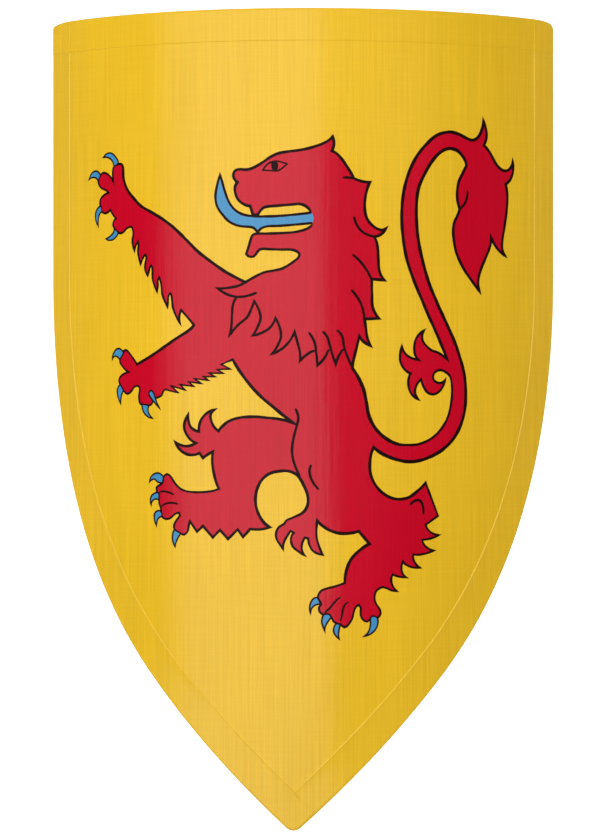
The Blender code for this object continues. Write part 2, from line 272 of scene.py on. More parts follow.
class Outline:
    """The edge strips' rungs, (outer point, inner edge), clockwise from the top strip's left seam."""

    def __init__(self):
        side = make_side()
        inner = top_line(HALF_GIRTH - STRIP_SIDE_WIDTH, STRIP_TOP_WIDTH)
        low, high = 0.0, side.length
        for _ in range(HALVINGS):
            foot = (low + high) / 2
            low, high = (low, foot) if side.point(foot, STRIP_SIDE_WIDTH).x <= 0 else (foot, high)
        tip_inner = Vector((0.0, side.point(foot, STRIP_SIDE_WIDTH).y))
        tip_run = side.length - TIP_RADIUS / math.tan(side.heading(side.length))
        edge = HALF_GIRTH - RIGHT_CORNER_RADIUS
        clear = spaced(0, inner.x - LAP_SOFT, TOP_STEP)
        over = [inner.x, inner.x + LAP_SOFT, *spaced(inner.x + 2 * LAP_SOFT, edge, CORNER_STEP)[:-1]]
        top = [(top_line(u), top_line(u, STRIP_TOP_WIDTH)) for u in clear]
        top += [(top_line(u), inner) for u in over]
        runs = spaced(inner.y, SIDE_STRAIGHT, STRAIGHT_STEP) + spaced(SIDE_STRAIGHT, foot, ARC_STEP)[1:-1]
        sides = [(side.point(run), side.point(run, STRIP_SIDE_WIDTH)) for run in runs]
        fan = [(side.point(run), tip_inner) for run in spaced(foot, tip_run, FAN_STEP)[:-1]]
        below, corner = sides[0][0], top_line(HALF_GIRTH)

        def rounded(radius):
            return [(point, inner) for point in fillet(top_line(edge), corner, below, radius)]

        def mirror(rungs):
            return [(Vector((-p.x, p.y)), Vector((-q.x, q.y))) for p, q in rungs]

        apex = side.point(side.length)
        start = fan[-1][0]
        tip_arc = fillet(start, apex, Vector((-start.x, start.y)), TIP_RADIUS)
        tip = [(point, tip_inner) for point in tip_arc]
        left_top = mirror(top[1:] + rounded(LEFT_CORNER_RADIUS))
        right_top = top + rounded(RIGHT_CORNER_RADIUS)
        self.top = self.leaned([mirror(sides)[0], *reversed(left_top), *right_top, sides[0]])
        self.right = self.leaned([*sides, fan[0]])
        self.left = self.leaned([*fan, *tip, *reversed(mirror(fan)), *reversed(mirror(sides))])
        self.edge = [p for p, _ in self.top[:-1] + self.right[:-1] + self.left[:-1]]

    def leaned(self, rungs):
        return [(lean(p), lean(q)) for p, q in rungs]


OUTLINE = Outline()


# Places in the photograph, carried onto the canvas
class Sight:
    """The camera in the shield's own frame, and the flat point that each place in its picture shows."""

    def __init__(self):
        self.back = Vector((math.sin(CAMERA_TURN), 0.0, math.cos(CAMERA_TURN)))
        self.right = Vector((math.cos(CAMERA_TURN), 0.0, -math.sin(CAMERA_TURN)))
        self.up = Vector((0.0, 1.0, 0.0))
        away = self.back * (CAMERA_DISTANCE - TURN_CENTRE.z)
        self.place = TURN_CENTRE + away + self.right * CAMERA_SHIFT[0] + self.up * CAMERA_SHIFT[1]

    def matrix(self):
        """Where the camera stands in the scene."""
        turn = Matrix((self.right, self.up, self.back)).transposed().to_4x4()
        return LAID @ Matrix.Translation(self.place) @ turn

    def flat(self, x, y):
        """The flat point of the canvas that a place in the picture shows."""
        per_pixel = CAMERA_SENSOR / IMAGE_HEIGHT / CAMERA_LENS
        across = (x - IMAGE_WIDTH / 2) * per_pixel
        down = (y - IMAGE_HEIGHT / 2) * per_pixel
        ray = self.right * across - self.up * down - self.back
        # Where the ray first meets the canvas, a cylinder about the line x = 0, z = -BEND_RADIUS
        radius = BEND_RADIUS + CANVAS_FRONT
        from_axis = Vector((self.place.x, self.place.z + BEND_RADIUS))
        way = Vector((ray.x, ray.z))
        a, b = way.dot(way), from_axis.dot(way)
        reach = (-b - math.sqrt(b * b - a * (from_axis.dot(from_axis) - radius * radius))) / a
        met = self.place + ray * reach
        return Vector((math.atan2(met.x, met.z + BEND_RADIUS) * BEND_RADIUS, HEIGHT / 2 - met.y))


SIGHT = Sight()

# The lion, in places of the photograph, in pixels. C marks a corner or a tip; the rest is drawn smoothly
C = "corner"
HEAD = [
    (332.6, 136.7), (326, 142), (313.8, 146.8), (301.8, 149.7), (288.4, 151.5), (277.7, 153.5),
    (269.6, 157.5), (261.6, 163), (253.6, 167.5), (247, 169.6), (238.8, 169.3), (234.8, 171),
    (233.2, 175.6), (234.8, 179.6), (237.5, 182.3, C), (235, 187), (235.5, 193.7), (238.8, 200.4),
    (244.2, 204.4), (250.2, 206, C), (252.9, 214.9, C), (258, 214.6, C), (260.6, 210.6),
    (264.3, 207.2), (277.7, 205.7), (291, 204.6), (300.4, 204), (307, 207), (311, 212.4),
]
JAW = [
    (312.5, 224.5), (307, 228.7), (296.4, 231.8), (283, 233), (267, 233.6), (255, 233.8),
    (252.3, 235.6), (251, 238.5), (248.5, 247), (246.2, 253.9, C), (248.5, 256.2), (253.6, 256.6),
    (256.9, 252.6), (260.3, 249.2), (270, 249.2), (280.4, 249.6), (292.4, 249.8), (298.4, 252.6),
    (299.4, 255.6), (296.4, 259.5), (283, 268.2), (275, 270.3), (264.3, 272.3), (256.2, 276), (245.5, 282.3),
]
UPPER_FORELEG = [
    (245.5, 282.3), (237.6, 278.4), (225, 271.5), (211.5, 262), (198, 251.6), (185.5, 239), (173, 227),
    (162, 218.7), (152, 212.6), (141, 206), (133.5, 198), (127, 189), (123.5, 178), (123, 167), (121, 164),
]
UPPER_PAW = [
    (121, 164), (117.4, 164.4), (114, 166.7), (112.8, 172), (113.6, 182.8, C), (109.7, 176),
    (104.4, 172.8), (100.6, 175), (98.3, 181.2), (100.6, 187.3), (106, 190.4), (108.7, 192.7, C),
    (101.3, 198), (100, 203.4), (101, 208.7), (102, 211.8), (105.5, 213.4), (110.3, 209.8, C),
    (112.6, 214), (116, 218.4, C), (113.2, 222.6), (113.4, 226.4), (114.4, 228.2), (118.6, 232.9),
    (122.8, 232.5), (127.3, 228), (131.2, 226.8), (132.7, 229.4),
]
FORELEG_FRINGE = [
    (132.7, 229.4), (133.4, 234), (132.4, 240), (132.8, 245), (134.4, 250.6, C), (135.2, 247),
    (136.4, 243.8), (138, 241.6, C), (138.6, 246), (138, 252), (139, 258), (140.6, 264, C), (142, 260),
    (143.6, 256.4), (145.4, 254.8), (146.4, 258), (145.3, 264), (145.2, 269.5), (147.6, 275.4, C),
    (149, 271), (149.9, 267), (151.3, 265.6), (152.5, 270), (152.5, 278), (154.2, 284.5), (157, 291.4, C),
    (157.8, 286), (157.7, 280), (159.2, 277.4, C), (161.2, 284), (162.2, 294), (164.8, 301),
    (167.4, 306.4, C), (168, 302), (168.2, 297), (170.2, 293.4), (172, 299.5), (172.7, 306.5),
    (175.2, 314), (180.4, 324, C), (179.2, 319), (179.7, 314), (181.2, 310, C), (184.2, 313.4),
    (189.5, 319.6), (193.9, 325),
]
LOWER_FORELEG = [(193.9, 325), (189.3, 330), (176.5, 338.3), (163.8, 347.2), (151, 356), (137, 364.4)]
LOWER_PAW = [
    (137, 364.4), (132, 356.8), (126.8, 350.4), (123.6, 351), (119.8, 360), (123, 367), (128.7, 372, C),
    (121, 376), (119, 381), (120.2, 384.2), (123.6, 390.6), (127.4, 393.8), (131.3, 391.2),
    (134.4, 386.8), (138.3, 386), (139.8, 388.7), (139, 396.3), (140.8, 404), (149, 405.3),
    (151.7, 404), (152.3, 400.2, C), (156, 398), (161.2, 395.7), (163.8, 390.6), (165.7, 389.3),
]
PAW_FRINGE = [
    (165.7, 389.3), (171.4, 391.2), (178, 392.5, C), (170.8, 385.7, C), (185.5, 390.2, C), (180, 384.6, C),
    (194, 386.4, C), (188.3, 381.7, C), (201.8, 383.6, C), (193.8, 378.5, C), (208.7, 380.4, C),
    (203.6, 376.6, C), (215.4, 376.8, C), (208.7, 373, C), (223.7, 373.4, C), (217, 369.5, C),
    (230.4, 369, C), (221.2, 364.4, C), (232.7, 359.6),
]
BELLY = [
    (232.7, 359.6), (240.3, 372), (250.5, 385.5), (262, 397.6), (273.5, 407.2), (285, 416.7),
    (295.2, 424),
]
LEFT_THIGH = [
    (295.2, 424), (283.7, 420), (269.6, 418), (253, 416.7), (239, 417.8), (228.8, 421.2),
    (222.4, 426.3), (218.6, 431, C), (214.2, 427), (211.2, 420.6), (210.7, 414.2), (214.5, 409.7, C),
    (207, 413), (201.4, 419.3), (199.2, 425.7), (198.9, 431.4, C), (194.4, 430), (190, 425.7),
    (188, 414.8, C), (184.8, 421.8), (184.2, 428.2), (186.7, 434.6), (190.6, 439.7), (195.7, 443, C),
    (189.3, 445.8), (183, 445.8), (175.3, 442.2, C), (179, 448.6), (185.5, 453.7), (193, 455),
    (199.5, 453, C), (203, 458.2, C), (207.8, 454.4), (212.9, 451.8, C), (212.2, 461.4), (213.5, 471.6),
    (216, 481.8), (218.9, 488.8),
]
LEFT_FOOT = [
    (218.9, 488.8), (212, 491), (200.8, 492.2), (189.3, 491.7), (181.6, 489.4), (175.3, 483.7),
    (170.8, 476.7), (167, 474), (163.6, 477), (162.5, 483), (156.5, 487.6), (157.3, 492), (159, 499.6),
    (159.3, 504), (160.8, 508), (162, 516.3), (166, 519), (170.5, 518), (175, 514), (179, 512.8),
    (180, 515), (176.2, 520.8), (174, 525.4), (174.5, 529), (180.8, 533.5), (184.3, 534.6),
    (187.7, 531), (189, 524.3), (190, 521.4),
]
FOOT_ZIGZAG = [
    (190, 521.4), (197, 531.7, C), (203, 526, C), (212.8, 537.5, C), (220, 530, C), (228, 539, C),
    (237.7, 529.5, C), (243, 537, C), (250.3, 529, C), (257.8, 529.5), (263.5, 529), (269.6, 527.2),
]
BETWEEN_LEGS = [
    (269.6, 527.2), (263.5, 522), (259, 515), (256, 506), (255.5, 498), (257.2, 488.7), (261.8, 480),
    (269.2, 473.8), (280.7, 471), (290, 471.5), (298, 476), (305, 488), (308, 498), (306.5, 508),
    (300, 514.4),
]
BELLY_TUFT = [
    (300, 514.4), (292, 518), (286.5, 520.3), (284.2, 523.7), (278.4, 527.7), (276, 533.5), (276.7, 539.2),
    (280.7, 545.5), (283, 549, C), (284.2, 541.5), (288.8, 533.5), (290.5, 530.9, C), (293.9, 532.9, C),
    (291, 538), (292.5, 546), (299.9, 552.5), (304.9, 555.5, C), (301.6, 547.6), (304.9, 537.6, C),
    (308.2, 538.5, C), (309.8, 546), (314, 551.7), (322.6, 554.7, C), (319, 546), (316.5, 536), (317.3, 521),
]
RIGHT_THIGH = [
    (317.3, 521), (326.4, 528.5), (336.4, 532.7), (346.3, 533.5), (358.8, 531.3, C), (369.5, 543.9, C),
    (361.3, 549), (351.3, 559), (346.3, 570.8), (344.8, 583),
]
RIGHT_FOOT = [
    (344.8, 583), (335, 586.4), (326, 588.7), (320.6, 591.4), (317.9, 597), (321, 604), (319, 607.4),
    (319.8, 612), (323.6, 614.7), (331.3, 617.4), (333.6, 621.6), (336.2, 623.2), (340.5, 624.3),
    (344.3, 627.3), (348, 625), (352, 619), (354.2, 610.5), (356.5, 606), (358.8, 605), (360.7, 607.4),
    (360.7, 615), (363.4, 620), (367, 621.6), (370, 619.5), (377.6, 618), (379.5, 616), (380.6, 612.8),
    (379.5, 609), (375.7, 603), (374.5, 597.5), (376, 591.4), (379.5, 588.3), (383, 587),
]
HEEL_FRINGE = [
    (383, 587), (387.7, 588.6), (391.4, 590.3), (396.7, 591, C), (392.6, 585.9), (391.2, 579.5),
    (392.8, 574.4, C), (396.4, 575.9), (401, 577), (406.2, 577.4, C), (402.2, 572.7), (401.5, 566.3),
    (402.9, 561.6, C), (406.8, 565.2), (412.4, 567.3), (419.8, 567.6, C), (415.8, 564), (413.4, 559.5),
    (413.5, 554.4, C), (418.8, 554.8), (425.6, 553.5), (433.4, 550.6, C), (428.3, 548.5), (423.8, 544.4),
    (422.4, 539.8, C), (431.1, 538.3), (438.7, 535.1, C), (433, 533.6), (428.5, 530.2), (425.7, 524.7, C),
    (438, 515.8, C), (425.6, 482.9),
]
HOCK = [
    (425.6, 482.9), (417.6, 491), (407.7, 497.8), (396, 499), (386, 495.3), (376.2, 486.2),
    (370.4, 473), (370.4, 458), (373.7, 447.3),
]
TAIL_OUTER = [
    (373.7, 447.3), (382.8, 454), (396, 459.4), (409.3, 461.7), (422.6, 459.7), (439.2, 452),
    (452.4, 440), (460.7, 425), (465, 408), (465.7, 389.5), (464.2, 374), (460.4, 359), (455.3, 343.6),
    (446.3, 323), (438.7, 306.6), (436, 300), (429.7, 285), (424, 266), (419.5, 246.7), (417, 227.6),
    (416.4, 208.4), (418.3, 189.3), (423.4, 176.5), (432.3, 161), (441.2, 151.7), (449.5, 148.5),
    (457.8, 151), (464.2, 158.7), (466.5, 165.7),
]
TAIL_TUFT = [
    (466.5, 165.7), (463, 172.7), (458.4, 183), (457.2, 197), (459.8, 209, C), (457.8, 214.8),
    (454, 223.7), (453.3, 235), (456.5, 253), (464.2, 269.6), (473, 282.4), (479.5, 291.3, C),
    (478.2, 281), (480.8, 269.6), (486, 257), (490.3, 245.4), (491, 237, C), (497.3, 248.6),
    (505, 255.6, C), (502.2, 249), (502.4, 240), (504.4, 227.6), (507, 207), (507.3, 194.4),
    (505.6, 184.2, C), (510.7, 179), (513, 171.4), (512.7, 161.2, C), (510.7, 167.6), (506.3, 170.8),
    (501.2, 169.5), (496, 163.8), (489.7, 152.3), (484, 145.3, C), (486.5, 137), (486, 129.3), (483.3, 120.4),
]
TAIL_INNER = [
    (483.3, 120.4), (482, 129.3), (478.2, 137), (473, 140.2), (466.7, 138.3), (457.8, 133.8), (449, 132),
    (437.4, 135), (427.2, 143.4), (417, 156), (409.3, 171.4), (404.2, 189.3), (401.9, 208.4),
    (402.3, 230), (406, 255.6), (413.2, 278.6), (422, 300), (428.5, 315.5), (436, 332), (442.5, 347.4),
    (447.6, 360),
]
TAIL_CURL = [
    (447.6, 360), (438.7, 353), (431, 350), (424, 343), (422, 337.2), (424, 330.6, C), (419.5, 334),
    (415.7, 339.7), (414.2, 348.7), (415.7, 356.3), (418.9, 360, C), (410.6, 357.6), (405.5, 353.8),
    (401.9, 347, C), (400.2, 353.8), (400.4, 361.4), (404.2, 369), (410.6, 373.5, C), (408.3, 380.6),
    (409.3, 389.5), (413.2, 396), (418.3, 399.3, C), (415, 392), (417, 384.4), (421, 379.3, C),
    (423.4, 386.3), (427.8, 392.7), (433.6, 394.3), (440, 390.8), (443.8, 384.4), (445, 380.3, C),
    (442.5, 382.5), (438.7, 383), (434.2, 380.6), (433, 376.7), (434.8, 372.3), (440, 370),
    (445, 371.6), (450.2, 376.7), (452, 387), (451.6, 400), (447.5, 418), (439.2, 431.5),
    (429.2, 439.8), (417.6, 444.4), (406, 445), (400, 444.7),
]
BACK = [
    (400, 444.7), (390, 441), (381, 434.5), (373.5, 425.6), (368.4, 414), (366.5, 402.7),
    (363.3, 388.6), (358, 377), (352.2, 368),
]
MANE_BACK = [
    (352.2, 368), (353.7, 359.3), (356.3, 349), (359.4, 336.3, C), (363.3, 341.4), (370.3, 345.5, C),
    (367, 336.3), (365.6, 326), (364.5, 319, C), (379, 318.4, C), (372.8, 307.5), (372, 294),
    (371.8, 279.2, C), (384.2, 280, C), (379.5, 271.3), (378.4, 260.6), (377.5, 246), (374.3, 236.6, C),
    (380.8, 234.5), (386, 228.5, C), (380.8, 230), (372.8, 225.8), (366.7, 217.8), (364.7, 207),
    (366, 193.7), (369.8, 182.3, C), (360.7, 181), (354, 178.3, C), (347.3, 167), (339.3, 156),
    (332, 150.8, C), (334, 143.5), (332.6, 136.7),
]
# Round the body from the tongue's root, each stretch with its line's width in metres
BODY_LINES = [
    (JAW, 0.0028), (UPPER_FORELEG, 0.0034), (UPPER_PAW, 0.0025), (FORELEG_FRINGE, 0.0026),
    (LOWER_FORELEG, 0.0033), (LOWER_PAW, 0.0024), (PAW_FRINGE, 0.0018), (BELLY, 0.0035),
    (LEFT_THIGH, 0.0031), (LEFT_FOOT, 0.0024), (FOOT_ZIGZAG, 0.0029), (BETWEEN_LEGS, 0.0033),
    (BELLY_TUFT, 0.0025), (RIGHT_THIGH, 0.0034), (RIGHT_FOOT, 0.0024), (HEEL_FRINGE, 0.0025),
    (HOCK, 0.0033), (TAIL_OUTER, 0.0038), (TAIL_TUFT, 0.0034), (TAIL_INNER, 0.0036), (TAIL_CURL, 0.0028),
    (BACK, 0.0039), (MANE_BACK, 0.0032), (HEAD, 0.0031),
]
INNER_LINES = [
    [(342.6, 177.6), (348, 177.5), (354, 178.3)],
    [(354, 216.4), (357.4, 225.8), (363.4, 232.5), (374.3, 236.6)],
    [(352.3, 254.3), (360.7, 262), (367.4, 271.3), (371.6, 280)],
    [(351, 289.6), (358.5, 299), (362.6, 308.3), (364.5, 319)],
    [(245.5, 282.3), (237.5, 286), (226.8, 288), (218, 288.5, C), (224, 292.8), (232, 296),
     (241.5, 296.8), (249.6, 295.2), (257, 292.5)],
    [(237.6, 296.5), (233.4, 303), (232, 314.6), (231.3, 327.4), (229.6, 335, C), (238.3, 324.8),
     (247.2, 317.2), (251, 309.5), (254.2, 301.3, C), (258.7, 309.5), (260.6, 318.5), (257.4, 327.4),
     (253, 335.3, C), (261.2, 333), (270.2, 327.4), (275.5, 318.2, C), (279.7, 327.4), (281, 336.3),
     (277.8, 345.3), (272, 353.8, C), (281.6, 349), (289.3, 341.4), (294.6, 332, C), (297.6, 342.7),
     (300, 353), (300, 360.8, C), (308.4, 353.5), (315.4, 350.4)],
    [(308.4, 332.2), (314.2, 341.4), (316.3, 353), (317.6, 365.4, C), (324.4, 358), (328.8, 349)],
    [(322.4, 331.2), (327.6, 337.6), (330, 346.5), (332.7, 355.5), (335.8, 364, C), (339, 355.5),
     (343.5, 349)],
    [(336.7, 330), (342.2, 336.3), (344, 346.5), (348, 358), (353, 368.2)],
    [(295.2, 408.4), (297.7, 414), (298.3, 419.3), (296.4, 427), (293.2, 439.7), (292, 450),
     (293.2, 460), (296.4, 469), (300, 476.7)],
    [(311.5, 464.7), (309.5, 471.3), (312.3, 481.2), (319, 489.5)],
    [(410.2, 504.8), (417.6, 500), (421.8, 502.8), (423.4, 514.4)],
    [(459.8, 209), (466, 200.8), (467.4, 190)],
]
TOE_LINES = [
    [(159.6, 492), (166, 491.6), (174.2, 495)],
    [(161.3, 506.5), (168.2, 503), (178.3, 504.2)],
    [(324.4, 612.8), (330.5, 607.4), (336, 600.6), (340.8, 597.3)],
    [(340.5, 621), (342, 615), (343.5, 607.4), (346.6, 603), (349, 602)],
]
EYE = [
    (263, 170.2, C), (268.3, 163.5), (275, 161.2), (280.4, 161.8), (287, 164, C), (281.7, 168.5),
    (277.7, 170.6), (271, 170.6),
]
PUPIL = [(271.8, 161.6), (277.2, 162), (278.2, 166.4), (276.6, 170.4), (272.6, 170.2), (271.2, 166)]
TONGUE = [
    (311.8, 212.4), (301.8, 213.8), (280.4, 215.8), (264.3, 216.4), (253.6, 216.2), (243, 214.4),
    (234.8, 209.7), (228.8, 201.7), (224.8, 191), (221.4, 179), (220, 175, C), (216.7, 187),
    (215.4, 197.7), (217.4, 207), (222.8, 215), (229.5, 221.8), (238.8, 225.8), (251, 227),
    (253.6, 227.8), (257.6, 232.5, C), (264.3, 227), (280.4, 225.8), (296.4, 224.5), (312.5, 223),
]
TONGUE_ROOT = (313.8, 217.8)
CLAWS = [
    [(117.4, 164.4, C), (118, 160.6), (110.5, 153), (103.3, 157.5, C), (110.5, 159), (114, 166.7, C)],
    [(100.6, 175, C), (94.4, 171.3), (89, 179.7, C), (94.5, 177.5), (98.3, 181.2, C)],
    [(101, 205.7, C), (96.5, 210.5), (95.5, 218), (98.3, 226.4, C), (99, 215.7), (102, 211.8, C)],
    [(114.3, 228.1, C), (112.8, 233.4), (106, 238.9, C), (108.6, 240.3), (113.4, 239.4),
     (118.7, 232.8, C)],
    [(123.6, 353, C), (118, 348.5), (113.4, 353.6), (112.4, 359.3, C), (115.3, 356), (119.8, 360, C)],
    [(120.2, 384.2, C), (117.4, 389.5), (117.8, 396), (120.7, 404, C), (121.3, 396), (123.6, 390.6, C)],
    [(142, 404, C), (143.4, 411.6), (147.8, 416.7), (152.6, 418.3, C), (148.2, 411.6), (149, 405.3, C)],
    [(148.8, 392.4), (150.8, 390.4), (153.8, 393.2), (155.4, 398.5), (156.9, 402.6), (160, 408.9, C),
     (156.4, 404.7), (151.9, 399.5), (149.6, 395.7)],
    [(163.6, 477, C), (158, 473), (152, 475.5), (149.6, 481.8, C), (154.4, 479), (157.3, 481.8),
     (162.5, 483, C)],
    [(159, 493, C), (155.6, 492.7), (151, 496.7), (151.2, 505.6, C), (153.3, 500), (159, 499.6, C)],
    [(162, 513.4, C), (159, 510.5), (154.4, 514), (156.5, 525.7, C), (158, 519), (162, 516.3, C)],
    [(174.5, 529.5, C), (172.6, 534.6), (172.8, 541), (175, 546.7, C), (176.8, 540.4),
     (180.8, 533.5, C)],
    [(317.5, 597.5, C), (313, 599), (309.8, 606), (310.6, 614, C), (313, 606.7), (321, 604, C)],
    [(323.6, 614.7, C), (321.7, 621), (323.2, 627.3), (325, 631.8, C), (325.2, 626.6),
     (331.3, 617.4, C), (329, 614.3)],
    [(336.2, 623.5, C), (333.6, 629), (334.3, 633.5), (339.3, 639.2, C), (338.5, 634),
     (340.5, 624.3, C)],
    [(370, 619, C), (373, 616), (377.6, 618, C), (377.6, 625), (373.4, 632), (363.8, 636.5, C),
     (368, 632.7), (370.3, 625.8)],
]


def brush_path(places, closed=False):
    """The flat points of a painted line: corners kept, the rest smoothed, about LINE_STEP apart."""
    points = [SIGHT.flat(p[0], p[1]) for p in places]
    corner = [len(p) > 2 for p in places]
    count = len(points)
    if not closed:
        corner[0] = corner[-1] = True
    path = []
    for i in range(count if closed else count - 1):
        j = (i + 1) % count
        a, b = points[i], points[j]
        before = a if corner[i] else points[i - 1]
        after = b if corner[j] else points[(j + 1) % count]
        length = (b - a).length
        leave = (b - before) * (length / max((b - before).length, 1e-9)) if not corner[i] else b - a
        reach = (after - a) * (length / max((after - a).length, 1e-9)) if not corner[j] else b - a
        if corner[i] != corner[j]:
            # A free end takes the bend that the other end asks for
            leave, reach = ((b - a) * 2 - reach, reach) if corner[i] else (leave, (b - a) * 2 - leave)
        steps = max(1, round(length / LINE_STEP))
        for k in range(steps):
            s = k / steps
            path.append(
                a * (2 * s**3 - 3 * s**2 + 1) + leave * (s**3 - 2 * s**2 + s)
                + b * (3 * s**2 - 2 * s**3) + reach * (s**3 - s**2)
            )
    return path if closed else path + [points[-1]]


def brush_stroke(path, widths, closed=False):
    """The outline of a line painted along the path, slightly uneven as a hand draws, with mitred turns."""
    count = len(path)
    sides = ([], [])
    run = 0.0
    for i, point in enumerate(path):
        before = path[i - 1] if closed or i else None
        after = path[(i + 1) % count] if closed or i < count - 1 else None
        one = (point - before).normalized() if before else (after - point).normalized()
        two = (after - point).normalized() if after else one
        run += (point - before).length if before else 0.0
        along = (one + two).normalized() if (one + two).length > 1e-6 else one
        outward = Vector((-along.y, along.x))
        mitre = 1 / max(outward.dot(Vector((-one.y, one.x))), MITRE_LIMIT)
        uneven = sum((much * math.sin(run * often + start) for much, often, start in UNEVENNESS), start=1)
        near_end = count if closed else min(i, count - 1 - i)
        taper = LINE_END_TAPER[near_end] if near_end < len(LINE_END_TAPER) else 1.0
        half = widths[i] / 2 * uneven * taper * mitre
        sides[0].append(point + outward * half)
        sides[1].append(point - outward * half)
    return [sides[0], sides[1][::-1]] if closed else [sides[0] + sides[1][::-1]]


def winding(points, polygon):
    """How many times the polygon goes round each point, as numpy."""
    corners = np.array([(p[0], p[1]) for p in polygon])
    low, high = corners.min(axis=0), corners.max(axis=0)
    near = np.all((points >= low) & (points <= high), axis=1)
    x, y = points[near, 0], points[near, 1]
    turns = np.zeros(len(x), int)
    for (ax, ay), (bx, by) in zip(corners, np.roll(corners, -1, axis=0)):
        side = (bx - ax) * (y - ay) - (x - ax) * (by - ay)
        turns += (ay <= y) & (by > y) & (side > 0)
        turns -= (ay > y) & (by <= y) & (side < 0)
    result = np.zeros(len(points), int)
    result[near] = turns
    return result


class Painting:
    """The lion as flat shapes: the areas of colour and the black lines over them."""

    def __init__(self):
        body, widths = [], []
        for places, width in BODY_LINES:
            path = brush_path(places)[:-1]
            body += path
            widths += [width] * len(path)
        body.append(SIGHT.flat(*HEAD[-1][:2]))
        widths.append(widths[-1])
        # A brush passes from one width to the next over a few steps
        eased = []
        for i in range(len(widths)):
            near = widths[max(0, i - WIDTH_EASING): i + WIDTH_EASING + 1]
            eased.append(sum(near) / len(near))
        root = SIGHT.flat(*TONGUE_ROOT)
        self.red = body + [root]
        self.lines = brush_stroke(body, eased)
        for places in INNER_LINES:
            self.lines += self.even_stroke(places, INNER_LINE_WIDTH)
        for places in TOE_LINES:
            self.lines += self.even_stroke(places, TOE_LINE_WIDTH)
        self.lines += self.even_stroke(TONGUE, TONGUE_LINE_WIDTH)
        self.tongue = brush_path(TONGUE) + [root]
        self.claws = [brush_path(places, closed=True) for places in CLAWS]
        self.rings = [self.even_ring(loop) for loop in self.claws]
        self.rings.append(self.even_ring(brush_path(EYE, closed=True)))
        self.pupil = brush_path(PUPIL, closed=True)

    def even_stroke(self, places, width):
        path = brush_path(places)
        return brush_stroke(path, [width] * len(path))

    def even_ring(self, loop):
        return brush_stroke(loop, [CLAW_LINE_WIDTH] * len(loop), closed=True)

    def shapes(self):
        """The loops that part one paint from another, with the tongue's end, which no line closes."""
        rings = [edge for ring in self.rings for edge in ring]
        tongue_end = [*self.tongue[-2:], self.tongue[0]]
        return [*self.lines, *rings, self.pupil, tongue_end]

    def paint_of(self, places):
        """Which paint is at each flat place, the later over the earlier."""
        paint = np.where(winding(places, self.red) != 0, RED_AREA, GROUND)
        paint[winding(places, self.tongue) != 0] = BLUE_AREA
        for shape in self.lines:
            paint[winding(places, shape) != 0] = BLACK_LINE
        for shape in self.claws:
            paint[winding(places, shape) != 0] = BLUE_AREA
        for outer, inner in self.rings:
            paint[winding(places, outer) + winding(places, inner) != 0] = BLACK_LINE
        paint[winding(places, self.pupil) != 0] = BLACK_LINE
        return paint


# Making pieces
def finished_piece(name, points, faces, flats, materials, which=None, across=None):
    """A mesh piece from points in the shield's own frame. Its UVs are its flat pattern in metres and, on
    a strip, how far each point is from the inner edge."""
    mesh = bpy.data.meshes.new(name)
    mesh.from_pydata([LAID @ p for p in points], [], faces)
    for material in materials:
        mesh.materials.append(material)
    if which is not None:
        mesh.polygons.foreach_set("material_index", np.asarray(which, np.int32))
    corners = np.empty(len(mesh.loops), np.int32)
    mesh.loops.foreach_get("vertex_index", corners)
    for layer, places in (("pattern", flats), ("across", across)):
        if places is not None:
            uvs = np.array([(p[0], p[1]) for p in places], np.float32)[corners]
            mesh.uv_layers.new(name=layer).data.foreach_set("uv", uvs.ravel())
    thing = bpy.data.objects.new(name, mesh)
    bpy.context.scene.collection.objects.link(thing)
    mesh.shade_smooth()
    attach(thing, "root")
    return thing


